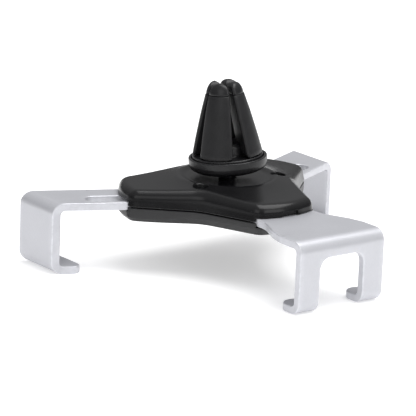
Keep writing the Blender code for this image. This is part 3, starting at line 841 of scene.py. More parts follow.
def spring_tree() -> Tree:
    """A tree that winds a round wire along Y, with closer turns at its two ends.

    Returns:
        The tree, with inputs Turns, Radius, Wire, Length, Shift and Material.
    """
    made = Tree(
        "wound_wire",
        {
            "Turns": ("NodeSocketFloat", 9.0),
            "Radius": ("NodeSocketFloat", 0.001),
            "Wire": ("NodeSocketFloat", 0.0002),
            "Length": ("NodeSocketFloat", 0.01),
            "Shift": ("NodeSocketVector", (0.0, 0.0, 0.0)),
            "Material": ("NodeSocketMaterial", None),
        },
    )
    coil = made.node(
        "GeometryNodeCurveSpiral",
        None,
        {
            "Resolution": 28,
            "Rotations": made.entry("Turns"),
            "Start Radius": made.entry("Radius"),
            "End Radius": made.entry("Radius"),
            "Height": made.entry("Length"),
        },
    )
    height = made.node(
        "ShaderNodeSeparateXYZ", None, {"Vector": made.node("GeometryNodeInputPosition").outputs[0]}
    ).outputs["Z"]
    share = made.math("DIVIDE", height, made.entry("Length"))
    wave = made.math("SINE", made.math("MULTIPLY", share, 2 * math.pi), 0.0)
    pull = made.math("MULTIPLY", made.math("MULTIPLY", wave, -0.07), made.entry("Length"))
    shift = made.node("ShaderNodeCombineXYZ", None, {"Z": pull})
    closer = made.node(
        "GeometryNodeSetPosition", None, {"Geometry": coil.outputs[0], "Offset": shift.outputs[0]}
    )
    ring = made.node(
        "GeometryNodeCurvePrimitiveCircle", None, {"Resolution": 10, "Radius": made.entry("Wire")}
    )
    wire = made.node(
        "GeometryNodeCurveToMesh",
        None,
        {"Curve": closer.outputs[0], "Profile Curve": ring.outputs[0], "Fill Caps": True},
    )
    placed = made.node(
        "GeometryNodeTransform",
        None,
        {
            "Geometry": wire.outputs[0],
            "Translation": made.entry("Shift"),
            "Rotation": Euler((-math.pi / 2, 0.0, 0.0)),
        },
    )
    made.close(placed.outputs[0])
    return made


# ---------------------------------------------------------------- arms


@dataclass(frozen=True)
class BentSheet:
    """The section that the three arms share: plate, wall and lip, bent from one sheet.

    A place on it is (s, side): s runs along the outer surface from the plate's inner end.
    """

    top: float
    inner: float
    sheet: float = 2.0
    bend: float = 3.1
    lip: float = 6.0
    edge: float = 0.3

    @property
    def stations(self) -> np.ndarray:
        """s at the ends of the plate, the first bend, the wall and the second bend."""
        quarter = self.bend * math.pi / 2
        return np.cumsum([-self.bend - self.inner, quarter, self.top - 2 * self.bend, quarter])

    @property
    def length(self) -> float:
        """s at the lip's end."""
        return float(self.stations[-1]) + self.sheet + self.lip - self.bend

    def section(self, s: np.ndarray) -> tuple[np.ndarray, np.ndarray, np.ndarray]:
        """The outer surface's line.

        Args:
            s: Places along it.

        Returns:
            How far outwards from the wall's face, how high, and the normal's angle from upright.
        """
        s = np.asarray(s, float)
        a, b, c, d = self.stations
        r = self.bend
        where = [s <= a, s <= b, s <= c, s <= d]
        half = math.pi / 2
        angle = np.select(where, [0 * s, (s - a) / r, 0 * s + half, (s - c) / r + half], math.pi)
        bow, rise = r * np.sin(angle), r * np.cos(angle)
        out = np.select(where, [self.inner + s, bow - r, 0 * s, bow - r], -r - (s - d))
        up = np.select(where, [0 * s + self.top, self.top - r + rise, self.top - r - (s - b), r + rise], 0.0)
        return out, up, angle

    def rows(self) -> np.ndarray:
        """Places where the mesh has a row of points: close in the bends."""
        a, b, c, d = self.stations
        parts = [np.arange(0.0, a, 1.3), np.linspace(a, b, 17), np.linspace(b, c, 10), np.linspace(c, d, 17)]
        return np.unique(np.round(np.concatenate([*parts, [self.length - 1.6]]), 5))


@dataclass(frozen=True)
class SheetBase:
    """How a bent sheet's own directions stand in the holder."""

    origin: tuple[float, float, float]
    out: tuple[float, float, float]
    side: tuple[float, float, float]
    shear: float = 0.0


def refined(loop: np.ndarray, rows: np.ndarray, step: float = 0.4) -> np.ndarray:
    """The loop with a point wherever it crosses a row, and no longer gaps than a step."""
    out = []
    for p, q in zip(loop, np.roll(loop, -1, 0)):
        low, high = sorted((p[0], q[0]))
        cuts = {0.0}
        if high - low > 1e-6:
            for row in rows[(rows > low + 0.02) & (rows < high - 0.02)]:
                cuts.add(float((row - p[0]) / (q[0] - p[0])))
        ordered = sorted(cuts) + [1.0]
        gap = float(np.linalg.norm(q - p))
        for u, v in zip(ordered[:-1], ordered[1:]):
            pieces = max(1, math.ceil((v - u) * gap / step))
            for k in range(pieces):
                out.append(p + (q - p) * (u + (v - u) * k / pieces))
    return np.array(out)


class SheetPress:
    """Turns outlines on a bent sheet into a solid with rounded edges and exact normals."""

    STEPS = 4

    def __init__(self, shop: Workshop, sheet: BentSheet, base: SheetBase) -> None:
        """Keeps the sheet, and how it stands."""
        self.shop = shop
        self.sheet = sheet
        self.base = base

    def _space(self, flat: np.ndarray, depth: float) -> tuple[np.ndarray, np.ndarray, np.ndarray]:
        """Points, normals and s directions of places at a depth under the outer surface."""
        out, up, angle = self.sheet.section(flat[:, 0])
        normal_out, normal_up = np.sin(angle), np.cos(angle)
        n, z = out - depth * normal_out, up - depth * normal_up
        side = flat[:, 1] + self.base.shear * (n - out)
        o, e, w = (np.array(v) for v in (self.base.origin, self.base.out, self.base.side))
        upright = np.array([0.0, 0.0, 1.0])
        points = o + n[:, None] * e + z[:, None] * upright + side[:, None] * w
        normals = normal_out[:, None] * e + normal_up[:, None] * upright
        ahead = normal_up[:, None] * e - normal_out[:, None] * upright
        return points, normals, ahead

    def press(self, name: str, outline: np.ndarray, holes: Sequence[np.ndarray]) -> bpy.types.Object:
        """Makes the solid.

        Args:
            name: The piece's name.
            outline: Its outer edge as (s, side).
            holes: Loops cut out of it.

        Returns:
            The object, smooth, with a point attribute "edge" on its rounded edges.
        """
        rows = self.sheet.rows()
        loops = [refined(outline if signed_area(outline) > 0 else outline[::-1], rows)]
        loops += [refined(h if signed_area(h) < 0 else h[::-1], rows) for h in holes]
        thick, e = self.sheet.sheet, self.sheet.edge
        side_vector = np.array(self.base.side)
        lean = np.linspace(0, math.pi / 2, self.STEPS)
        levels = [(e * (1 - math.sin(a)), e * (1 - math.cos(a)), a, 1.0) for a in lean]
        levels += [(e * (1 - math.sin(a)), thick - e * (1 - math.cos(a)), a, -1.0) for a in lean[::-1]]
        points, normals, edge_highlight_and_wear, faces = [], [], [], []
        first_ring: list[tuple[int, int]] = []
        total = 0
        for loop in loops:
            away = outward(loop)
            count = len(loop)
            for level, (inward, depth, a, face) in enumerate(levels):
                flat = loop - away * inward
                p, n, ahead = self._space(flat, depth)
                across = away[:, :1] * ahead + away[:, 1:] * side_vector
                points.append(p)
                normals.append(face * math.cos(a) * n + math.sin(a) * across)
                # Rounding points carry 1 and the rest 0.35: the mask for the painted edge highlight and wear.
                edge_highlight_and_wear.append(np.full(count, 1.0 if 0 < a < math.pi / 2 else 0.35))
                if level == 0:
                    first_ring.append((total, count))
                else:
                    low, high = total - count, total
                    for i in range(count):
                        j = (i + 1) % count
                        faces.append((low + i, low + j, high + j, high + i))
                total += count
        rims = [loop - outward(loop) * e for loop in loops]
        grid = self._grid(rims, rows)
        cover = self._triangles(rims, grid)
        back = 2 * self.STEPS - 1
        tops = np.concatenate([np.arange(start, start + count) for start, count in first_ring])
        lows = np.concatenate(
            [np.arange(start + back * count, start + (back + 1) * count) for start, count in first_ring]
        )
        for depth, face, ring in ((0.0, 1.0, tops), (thick, -1.0, lows)):
            p, n, _ = self._space(grid, depth)
            points.append(p)
            normals.append(face * n)
            edge_highlight_and_wear.append(np.zeros(len(grid)))
            lookup = np.concatenate([ring, np.arange(total, total + len(grid))])
            total += len(grid)
            for tri in cover:
                corners = tuple(int(lookup[i]) for i in tri)
                faces.append(corners if face > 0 else corners[::-1])
        return self._object(name, np.vstack(points), faces, np.vstack(normals), np.concatenate(edge_highlight_and_wear))

    def _grid(self, rims: Sequence[np.ndarray], rows: np.ndarray) -> np.ndarray:
        """Points over the sheet, a little away from its edges."""
        low, high = rims[0][:, 1].min(), rims[0][:, 1].max()
        columns = np.linspace(low, high, max(3, round((high - low) / 1.3)))
        grid = np.array([(s, side) for s in rows for side in columns])
        grid = grid[inside(grid, rims[0])]
        for hole in rims[1:]:
            grid = grid[~inside(grid, hole)]
        edge = np.vstack(rims)
        gap = np.sqrt(((grid[:, None, :] - edge[None, :, :]) ** 2).sum(axis=2)).min(axis=1)
        return grid[gap > 0.32]

    def _triangles(self, rims: Sequence[np.ndarray], grid: np.ndarray) -> list[tuple[int, ...]]:
        """Triangles over the sheet, as indices of the rims' points and then the grid's."""
        spots = np.vstack([*rims, grid])
        edges, start = [], 0
        for rim in rims:
            edges += [(start + i, start + (i + 1) % len(rim)) for i in range(len(rim))]
            start += len(rim)
        result = geometry.delaunay_2d_cdt([Vector(p) for p in spots], edges, [], 0, 1e-7)
        flat, _, triangles, origin = result[0], result[1], result[2], result[3]
        flat = np.array(flat)
        centres = np.array([flat[list(t)].mean(axis=0) for t in triangles])
        wanted = inside(centres, rims[0])
        for hole in rims[1:]:
            wanted &= ~inside(centres, hole)
        return [tuple(origin[i][0] for i in t) for t, keep in zip(triangles, wanted) if keep]

    def _object(
        self,
        name: str,
        points: np.ndarray,
        faces: Sequence[tuple[int, ...]],
        normals: np.ndarray,
        edge_highlight_and_wear: np.ndarray,
    ) -> bpy.types.Object:
        """The mesh object, with faces outwards and the sheet's own normals."""
        mesh = bpy.data.meshes.new(name)
        world = self.shop.world(points)
        mesh.from_pydata([tuple(p) for p in world], [], list(faces))
        edge = mesh.attributes.new("edge", "FLOAT", "POINT")
        edge.data.foreach_set("value", edge_highlight_and_wear.astype(np.float32))
        work = bmesh.new()
        work.from_mesh(mesh)
        bmesh.ops.recalc_face_normals(work, faces=work.faces)
        if work.calc_volume(signed=True) < 0:
            bmesh.ops.reverse_faces(work, faces=work.faces)
        work.to_mesh(mesh)
        work.free()
        mesh.shade_smooth()
        mesh.normals_split_custom_set_from_vertices([tuple(n) for n in normals])
        obj = bpy.data.objects.new(name, mesh)
        bpy.context.scene.collection.objects.link(obj)
        return obj


@dataclass
class SideArm:
    """One side arm: a strip whose plate runs at an angle to its upright wall."""

    shop: Workshop
    hand: int
    angle: float = math.radians(25.0)
    crossing: float = -1.3
    half: float = 6.6
    inner: float = 15.0
    slot_half: float = 2.5
    slot_side: float = 2.4
    slot_from: float = 22.0
    slot_to: float = 37.7
    pin: tuple[float, float, float] = (18.5, -2.9, 1.35)
    lip_round: tuple[float, float] = (2.17, 3.1)

    def plan(self, along: float, side: float) -> np.ndarray:
        """A plan point of the right arm by its place along and across it."""
        x = along * math.cos(self.angle) + side * math.sin(self.angle)
        y = self.crossing + along * math.sin(self.angle) - side * math.cos(self.angle)
        return np.array([x, y])

    def build(self) -> bpy.types.Object:
        """Makes the arm.

        Returns:
            The arm as one solid.
        """
        wall = self.shop.layout.wall_x
        sheet = BentSheet(self.shop.layout.plate_top, self.inner * math.cos(self.angle) - 9 - wall)
        wide = self.half / math.cos(self.angle)
        slope = math.tan(self.angle)

        def flat(point: np.ndarray) -> tuple[float, float]:
            return float(point[0]) - wall - sheet.inner, float(point[1])

        def edge_at(s: float, sign: float) -> tuple[float, float]:
            out = float(sheet.section(np.array([s]))[0][0])
            return s, self.crossing + (wall + out) * slope + sign * wide

        a, b, c, d = sheet.stations
        bends = [*np.linspace(a, b, 17), *np.linspace(c, d, 17)]
        corners = [flat(self.plan(self.inner, -self.half)), flat(self.plan(self.inner, self.half))]
        corners += [edge_at(s, -1) for s in bends]
        corners += [edge_at(sheet.length, -1), edge_at(sheet.length, 1)]
        corners += [edge_at(s, 1) for s in reversed(bends)]
        plain = [0.0] * len(bends)
        outline = rounded(corners, [2.2, 2.2, *plain, *self.lip_round, *plain], 10)
        ends = [flat(self.plan(s, self.slot_side)) for s in (self.slot_from, self.slot_to - self.slot_half)]
        pin_at = flat(self.plan(self.pin[0], self.pin[1]))
        holes = [slot(ends[0], ends[1], self.slot_half), circle(*pin_at, self.pin[2], 32)]
        base = SheetBase((self.hand * wall, 0, 0), (self.hand, 0, 0), (0, 1, 0), slope)
        side = "right" if self.hand > 0 else "left"
        return SheetPress(self.shop, sheet, base).press(f"side_arm_{side}_sheet", outline, holes)


@dataclass
class BottomArm:
    """The bottom arm: a neck that flares to a wall, with a window between two feet."""

    shop: Workshop
    inner: float = 8.6
    neck_half: float = 8.8
    neck_start: float = 27.2
    neck_end: float = 38.5
    half: float = 13.2
    foot: float = 6.4
    window_top: float = 13.7
    window_round: float = 3.0
    lip_round: float = 3.05
    slot_y: tuple[float, float] = (-18.8, -11.8)
    slot_half: float = 2.5
    rivets: tuple[tuple[float, float], ...] = ((-5.6, -13.4), (5.6, -13.4))

    def build(self) -> bpy.types.Object:
        """Makes the arm.

        Returns:
            The arm as one solid.
        """
        wall = self.shop.layout.wall_y
        sheet = BentSheet(self.shop.layout.plate_top, 5.0 - wall)

        def place(y: float) -> float:
            return y - wall - sheet.inner

        flare = (self.neck_end - self.neck_start) * 0.36
        gap = self.half - self.foot
        window = float(sheet.stations[1]) + sheet.top - sheet.bend - self.window_top
        right = [
            (place(self.inner), self.neck_half, 2.0),
            (place(self.neck_start), self.neck_half, 9.0),
            (place(self.neck_end - flare), self.half - 1.0, 9.0),
            (place(self.neck_end), self.half, 4.0),
            (sheet.length, self.half, self.lip_round),
            (sheet.length, gap, self.lip_round),
            (window, gap, self.window_round),
        ]
        corners = right + [(s, -x, r) for s, x, r in reversed(right)]
        outline = rounded([(s, x) for s, x, _ in corners], [r for _, _, r in corners], 10)
        first, last = place(-self.slot_y[0]), place(-self.slot_y[1])
        holes = [slot((first, 0.0), (last, 0.0), self.slot_half)]
        holes += [circle(place(-y), x, 1.25, 28) for x, y in self.rivets]
        base = SheetBase((0, -wall, 0), (0, -1, 0), (1, 0, 0))
        return SheetPress(self.shop, sheet, base).press("bottom_arm_sheet", outline, holes)


# ---------------------------------------------------------------- shells


@dataclass
class Shells:
    """The two halves of the housing, the pad on its face and the screws that hold it."""

    shop: Workshop
    arm: SideArm
    lobe_end: float = 27.5
    lobe_mid: float = 29.2
    lobe_half: float = 8.0
    front_lobe: tuple[float, float, float] = (8.9, 24.8, 27.2)
    waist: tuple[float, float] = (15.3, 9.0)
    back_waist: float = 16.3
    wall: float = 1.6
    bevel: float = 2.1
    lobe_bevel: float = 1.0
    seam_gap: float = 0.3
    edge_round: float = 2.4
    draft: float = 0.35
    dome_top: float = 23.3
    dome_end: float = 21.45
    dome_r: tuple[float, float] = (12.5, 6.5)
    dish_top: float = 22.7
    dish_r: float = 10.4
    roof: float = 1.4
    clear: float = 0.3
    mouth_half: float = 6.9
    neck_half: float = 9.1
    screws: tuple[tuple[float, float], ...] = ((-12.4, -5.3), (12.4, -5.3), (0.0, 12.2))
    screw_head: float = 1.75
    points: int = 320

    def __post_init__(self) -> None:
        """Works out the outline that both halves share."""
        far, mid, near = (
            self.arm.plan(self.lobe_end, -self.lobe_half),
            self.arm.plan(self.lobe_mid, 0),
            self.arm.plan(self.lobe_end, self.lobe_half),
        )
        x, y, tip = self.front_lobe
        right = [far, mid, near, (self.waist[0], -self.waist[1]), (x, -y)]
        left = [(-p[0], p[1]) for p in reversed(right)]
        radii = [4.0, 30.0, 3.3, 10.0, 4.2]
        corners = [*right, (0.0, -tip), *left, (0.0, self.back_waist)]
        line = rounded(corners, [*radii, 30.0, *radii[::-1], 14.0], 12)
        self.outline = resampled(line, self.points)
        top = self.shop.layout.plate_top
        self.mouth = (top - 2.0 - self.clear, top + self.clear)
        self.cam_top = self.shop.layout.cam_top
        share = np.clip((np.abs(self.outline[:, 0]) - 13.0) / 12.0, 0, 1)
        self.bevels = self.bevel - (self.bevel - self.lobe_bevel) * share**2 * (3 - 2 * share)

    def dome(self, plan: np.ndarray) -> np.ndarray:
        """Height of the rear shell's top over plan points."""
        radius = np.linalg.norm(plan, axis=1)
        t = np.maximum(radius - self.dome_r[0], 0) / self.dome_r[1]
        return self.dome_end + (self.dome_top - self.dome_end) * np.exp(-t)

    def _circle(self, loop: np.ndarray, radius: float) -> np.ndarray:
        """The loop's points drawn in to a circle."""
        return radius * loop / np.linalg.norm(loop, axis=1)[:, None]

    def _sides(self, first: float, last: float, side_low: float, side_high: float, hand: int) -> np.ndarray:
        """A box along a side arm, as a plan loop."""
        places = ((first, side_low), (first, side_high), (last, side_high), (last, side_low))
        return np.array([self.arm.plan(s, w) * (hand, 1) for s, w in places])

    def _front_box(self, half: float, back: float) -> np.ndarray:
        """A box along the bottom arm, as a plan loop."""
        return np.array([(-half, -45.0), (half, -45.0), (half, back), (-half, back)])

    def _rear_rings(self) -> list[np.ndarray]:
        """Rings of the rear shell: outside from its rim to the stud's hole, and back inside."""
        rim, line = self.shop.layout.rim, self.outline
        rings = [flat_ring(inset(line, d), rim + h) for d, h in ((0.2, 0.0), (0.07, 0.05), (0.0, 0.2))]
        edge = inset(line, self.draft)
        lift = self.dome(edge) - self.edge_round
        for u in (0.33, 0.66, 1.0):
            rings.append(flat_ring(inset(line, self.draft * u), rim + 0.2 + (lift - rim - 0.2) * u))
        for a in np.linspace(0, math.pi / 2, 11)[1:]:
            plan = inset(line, self.draft + self.edge_round * (1 - math.cos(a)))
            rings.append(flat_ring(plan, self.dome(plan) - self.edge_round * (1 - math.sin(a))))
        edge = inset(line, self.draft + self.edge_round)
        rim_r = self.dome_r[0]
        for share in np.linspace(0, 1, 13)[1:]:
            plan = (1 - share) * edge + share * self._circle(edge, rim_r)
            rings.append(flat_ring(plan, self.dome(plan)))
        drop = self.dome_top - self.dish_top
        for u in np.linspace(0, 1, 9)[1:]:
            radius = rim_r + (self.dish_r - rim_r) * u
            rings.append(flat_ring(self._circle(edge, radius), self.dome_top - drop * (3 * u**2 - 2 * u**3)))
        floor, roof = self.dish_top, self.dish_top - self.roof
        for radius, z in ((6.0, floor), (2.5, floor), (2.25, floor - 0.2), (2.25, roof), (6.0, roof)):
            rings.append(flat_ring(self._circle(edge, radius), z))
        rings.append(flat_ring(self._circle(edge, self.dish_r + 0.4), roof))
        edge = inset(line, self.wall + 1.0)
        for share in np.linspace(1, 0, 6):
            plan = (1 - share) * edge + share * self._circle(edge, rim_r)
            rings.append(flat_ring(plan, self.dome(plan) - self.roof))
        plan = inset(line, self.wall + 0.2)
        rings.append(flat_ring(plan, self.dome(plan) - self.edge_round - 0.9))
        rings.append(flat_ring(inset(line, self.wall), rim + 0.15))
        rings.append(flat_ring(inset(line, self.wall - 0.15), rim))
        return rings

    def rear(self) -> bpy.types.Object:
        """Makes the rear shell with its screw wells, arm mouths and relief notch.

        Returns:
            The shell as one solid.
        """
        obj = self.shop.solid("rear_shell_moulding", loft(self._rear_rings(), closed=True))
        bosses, wells = [], []
        for x, y in self.screws:
            height = float(self.dome(np.array([[x, y]]))[0])
            seat = self.cam_top + self.clear + 0.8
            boss = circle(x, y, self.screw_head + 0.85)
            bosses.append(prism(boss, self.cam_top + self.clear, height - 0.7))
            r = self.screw_head + 0.2
            profile = [(0, 18), (1.15, 18), (1.15, seat), (r, seat), (r, height - 0.34)]
            profile += [(r + 0.1, height - 0.12), (r + 0.34, height + 0.02)]
            profile += [(r + 0.34, height + 3), (0, height + 3)]
            wells.append(moved(spin(np.array(profile), 56), x, y))
        self.shop.change(obj, Operation.ADD, bosses)
        self.shop.change(obj, Operation.CUT, wells)
        mouths = []
        for hand in (1, -1):
            box = self._sides(self.arm.inner - 3, 45, -self.mouth_half, self.mouth_half, hand)
            mouths.append(prism(box, self.mouth[0] - 2, self.mouth[1]))
        mouths.append(prism(self._front_box(self.neck_half, -15.0), self.mouth[0] - 2, self.mouth[1]))
        self.shop.change(obj, Operation.CUT, mouths)
        notch = np.array([(-2.3, -40), (2.3, -40), (2.3, -25.4), (-2.3, -25.4)])
        notch = rounded(notch, [0, 0, 0.4, 0.4], 6)
        self.shop.change(obj, Operation.CUT, [prism(notch, self.mouth[1] - 0.5, self.mouth[1] + 1.1)])
        return self._trim(obj)

    def _trim(self, obj: bpy.types.Object) -> bpy.types.Object:
        """Rounds the cut edges slightly and marks them for the painted edge highlight and wear."""
        self.shop.soften(obj, 0.13, 50.0)
        mark_edges(obj, 20.0)
        return self.shop.smooth(obj, 34.0)

    def _front_rings(self) -> list[np.ndarray]:
        """Rings of the front shell: from its face outwards, up, and down inside to its floor."""
        face, rim = self.shop.layout.front_face, self.shop.layout.rim - self.seam_gap
        floor, line = face + 1.5, self.outline
        paths = []
        for bevel in self.bevels:
            path = [(bevel + 1.2, face), (bevel, face), (0.06, face + bevel + 0.1), (0.0, rim)]
            path += [(self.wall, rim), (self.wall + 0.5, floor), (self.wall + 1.6, floor)]
            paths.append(rounded(path, [0, bevel * 0.42, bevel * 0.4, 0.18, 0.15, 0.4, 0], 6, closed=False))
        away = inset(line, 1.0) - line
        steps = np.array(paths)
        return [flat_ring(line + away * steps[:, k, :1], steps[:, k, 1]) for k in range(steps.shape[1])]

    def front(self) -> bpy.types.Object:
        """Makes the front shell with its rails, posts and screw bosses.

        Returns:
            The shell as one solid.
        """
        obj = self.shop.solid("front_shell_moulding", loft(self._front_rings()))
        floor = self.shop.layout.front_face + 1.1
        rail_top = self.mouth[0]
        inner = [prism(circle(x, y, 1.9), floor, self.cam_top + 0.05) for x, y in self.screws]
        for hand in (1, -1):
            for side in (-4.9, 5.6):
                inner.append(prism(self._sides(9.8, 25.8, side - 0.5, side + 0.5, hand), floor, rail_top))
            x, y = self.arm.plan(self.arm.slot_from, self.arm.slot_side) * (hand, 1)
            inner.append(prism(circle(x, y, 1.35), floor, self.cam_top))
        inner.append(prism(circle(0, -18.8, 1.35), floor, 19.1))
        stop = np.array([(-1.9, -20.3), (1.9, -20.3), (1.9, -17.2), (-1.9, -17.2)])
        stops = [prism(stop, self.shop.layout.plate_top + 0.6, self.cam_top + 0.8)]
        for x in (-6.2, 6.2):
            rail = np.array([(x - 0.6, -24.2), (x + 0.6, -24.2), (x + 0.6, -10.0), (x - 0.6, -10.0)])
            inner.append(prism(rail, floor, rail_top))
        self.shop.change(obj, Operation.ADD, inner)
        self.shop.change(obj, Operation.ADD, stops)
        mouths = []
        for hand in (1, -1):
            box = self._sides(self.arm.inner + 6, 45, -self.mouth_half, self.mouth_half, hand)
            mouths.append(prism(box, *self.mouth))
        mouths.append(prism(self._front_box(self.neck_half, -20.5), *self.mouth))
        self.shop.change(obj, Operation.CUT, mouths)
        return self._trim(obj)

    def pad(
        self, scatter: Tree, material: bpy.types.Material
    ) -> tuple[bpy.types.Object, bpy.types.Object]:
        """Makes the rubber pad, with small grip domes set on it by a node tree.

        Args:
            scatter: The tree that sets a pattern piece on points.
            material: The pad's finish.

        Returns:
            The pad's sheet and its grips.
        """
        face = self.shop.layout.front_face
        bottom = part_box("front_pad")[0].z / MM
        line = self.outline * 0.68
        low, high = bottom + 0.22, face - 0.02
        path = rounded(
            [(1.5, low), (0.0, low), (0.0, high), (1.5, high)], [0, 0.35, 0.1, 0], 5, False
        )
        base = self.shop.solid("front_pad_sheet", loft([flat_ring(inset(line, d), z) for d, z in path]))
        dome = [(0.42 * math.cos(a), -0.24 * math.sin(a)) for a in np.linspace(math.pi / 2, 0, 5)]
        points, faces = spin(np.array([*dome, (0.42, 0.1), (0.0, 0.1)]), 14)
        bump = self.shop.raw("grip_dome", points * MM, faces)
        bump.data.shade_smooth()
        pitch = 1.55
        rows = [(i, j) for j in range(-20, 21) for i in range(-20, 21)]
        spots = np.array([((i + 0.5 * (j % 2)) * pitch, j * pitch * math.sqrt(3) / 2) for i, j in rows])
        spots = spots[inside(spots, inset(line, 1.2))]
        mesh = bpy.data.meshes.new("grip_points")
        at = self.shop.world(np.column_stack([spots, np.full(len(spots), bottom + 0.23)]))
        mesh.from_pydata([tuple(p) for p in at], [], [])
        domes = bpy.data.objects.new("front_pad_grips", mesh)
        bpy.context.scene.collection.objects.link(domes)
        scatter.apply(domes, {"Pattern": bump, "Spin": 0.0, "Material": material})
        bpy.data.objects.remove(bump)
        self.shop.smooth(base, 40.0)
        return base, domes


def mark_edges(obj: bpy.types.Object, angle: float) -> None:
    """Stores a point attribute "edge": 1 where a point's faces bend by more than the angle, where finishes
    paint an edge highlight and wear.
    """
    mesh = obj.data
    work = bmesh.new()
    work.from_mesh(mesh)
    work.verts.ensure_lookup_table()
    values = np.zeros(len(work.verts), np.float32)
    limit = math.radians(angle)
    for v in work.verts:
        sharp = [e.calc_face_angle(0.0) for e in v.link_edges]
        values[v.index] = 1.0 if sharp and max(sharp) > limit else 0.0
    work.free()
    made = mesh.attributes.get("edge") or mesh.attributes.new("edge", "FLOAT", "POINT")
    made.data.foreach_set("value", values)


# ---------------------------------------------------------------- hardware inside the housing


@dataclass
class Hardware:
    """Screws, bushes, rivets, spring and the ball stud."""

    shop: Workshop
    shells: Shells
    dresser: Dresser
    scatter: Tree
    spring_wire: float = 0.17
    ball_r: float = 3.6
    ball_z: float = 27.0

    def _template(
        self,
        name: str,
        profile: Sequence,
        steps: int,
        radii: Sequence[float] | None = None,
        closed: bool = False,
    ) -> bpy.types.Object:
        """A turned pattern piece at the world's origin, in metres."""
        line = np.array(profile, float)
        if radii is not None:
            line = rounded(line, radii, 5, closed)
        points, faces = spin(line, steps, closed)
        return self.shop.raw(name, points * MM, faces)

    def _set(
        self,
        name: str,
        pattern: bpy.types.Object,
        spots: Sequence,
        z: float,
        stock: Stock,
        body: str,
        nodes: Sequence[str],
        turn: float = 0.0,
    ) -> bpy.types.Object:
        """Sets a pattern piece on each spot, and hangs the result on its body."""
        mesh = bpy.data.meshes.new(name)
        at = self.shop.world(np.array([(x, y, z) for x, y in spots], float))
        mesh.from_pydata([tuple(p) for p in at], [], [])
        obj = bpy.data.objects.new(name, mesh)
        bpy.context.scene.collection.objects.link(obj)
        pattern.data.shade_smooth()
        pattern.data.set_sharp_from_angle(angle=math.radians(35))
        material = self.dresser.materials[stock]
        self.scatter.apply(obj, {"Pattern": pattern, "Spin": turn, "Material": material})
        bpy.data.objects.remove(pattern)
        return self.dresser.hang(obj, stock, body, *nodes)

    def screws(self) -> None:
        """Makes the three cross-recess screws of the housing."""
        seat, r = self.shells.cam_top + self.shells.clear + 0.9, self.shells.screw_head
        low = self.shop.layout.front_face + 2.2 - seat
        profile = [(0, low), (0.5, low), (0.9, low + 0.8), (0.9, 0)]
        profile += [(r, 0), (r, 0.5), (r * 0.72, 0.94), (0, 1.0)]
        pattern = self._template("screw_pattern", profile, 40, [0, 0.1, 0.2, 0.05, 0.08, 0.3, 0.5, 0])
        for wide, deep in ((0.24, 1.02), (1.02, 0.24)):
            corners = [(-wide, -deep), (wide, -deep), (wide, deep), (-wide, deep)]
            shape = prism(rounded(corners, [0.12] * 4, 4), 0.42, 3.0)
            helper = self.shop.raw("helper", shape[0] * MM, shape[1])
            modifier = pattern.modifiers.new("cross", "BOOLEAN")
            modifier.operation, modifier.solver, modifier.object = "DIFFERENCE", "EXACT", helper
            bake(pattern)
            bpy.data.objects.remove(helper)
        nodes = [f"case_screw_{i}" for i in (1, 2, 3)]
        self._set("case_screws", pattern, self.shells.screws, seat, Stock.BLACK_STEEL, "housing", nodes, 0.7)

    def bushes(self) -> None:
        """Makes the three guide bushes that the arms' slots run on."""
        arm = self.shells.arm
        x, y = arm.plan(arm.slot_from, arm.slot_side)
        low, high = self.shells.mouth[0] + 0.1, self.shells.mouth[1]
        profile = [(1.65, low), (2.25, low), (2.25, high), (1.65, high)]
        pattern = self._template("bush_pattern", profile, 36, [0.1] * 4, closed=True)
        nodes = ["guide_bush_right", "guide_bush_left", "guide_bush_bottom"]
        spots = [(x, y), (-x, y), (0.0, -18.8)]
        self._set("guide_bushes", pattern, spots, 0.0, Stock.ACETAL, "housing", nodes)

    def rivets(self) -> None:
        """Makes the two rivets that hold the cam plate to the bottom arm."""
        low, high = self.shop.layout.plate_top - 1.9, self.shells.cam_top + 0.1
        profile = [(0, low), (1.0, low), (1.0, high), (1.7, high)]
        profile += [(1.7, high + 0.2), (0.6, high + 0.5), (0, high + 0.5)]
        pattern = self._template("rivet_pattern", profile, 32, [0, 0.2, 0, 0.05, 0.15, 0.4, 0])
        spots = ((-5.6, -13.4), (5.6, -13.4))
        nodes = ["cam_rivet_1", "cam_rivet_2"]
        self._set("cam_rivets", pattern, spots, 0.0, Stock.STEEL, "bottom_slider", nodes)

    def spring(self, wound: Tree) -> None:
        """Makes the return spring, which rides on the housing."""
        mesh = bpy.data.meshes.new("return_spring_wire")
        obj = bpy.data.objects.new("return_spring_wire", mesh)
        bpy.context.scene.collection.objects.link(obj)
        start, end, low, high = self.shop.layout.spring
        middle = (low + high) / 2
        place = self.shop.world(np.array([(0.0, start + self.spring_wire, middle)]))[0]
        values = {
            "Turns": 9.0,
            "Radius": ((high - low) / 2 - self.spring_wire) * MM,
            "Wire": self.spring_wire * MM,
            "Length": (end - start - 2 * self.spring_wire) * MM,
            "Shift": Vector(place),
            "Material": self.dresser.materials[Stock.STEEL],
        }
        wound.apply(obj, values)
        obj.data.shade_smooth()
        self.dresser.hang(obj, Stock.STEEL, "housing", "return_spring")
        anchor = self.shop.world(np.array([(0.0, start, middle)]))[0]
        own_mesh(obj)

    def stud(self) -> None:
        """Makes the ball stud that the clip turns on."""
        dish = self.shells.dish_top + self.shells.clear
        r, z = self.ball_r, self.ball_z
        neck = z - math.sqrt(r**2 - 2.2**2)
        low = math.asin((neck - z) / r)
        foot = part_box("ball_stud")[0].z / MM
        start = [(0.0, foot), (1.9, foot), (1.9, dish), (2.2, dish + 0.1)]
        ball = [(r * math.cos(a), z + r * math.sin(a)) for a in np.linspace(low, math.pi / 2, 22)]
        obj = self.shop.solid("ball_stud_turned", spin(np.array([*start, *ball[:-1], (0.0, z + r)]), 56))
        self.shop.change(obj, Operation.CUT, [prism(circle(0, 0, 1.15), 20.0, 25.4)])
        self.shop.smooth(obj, 30.0)
        self.dresser.hang(obj, Stock.BLACK_STEEL, "housing", "ball_stud")


# ---------------------------------------------------------------- the clip


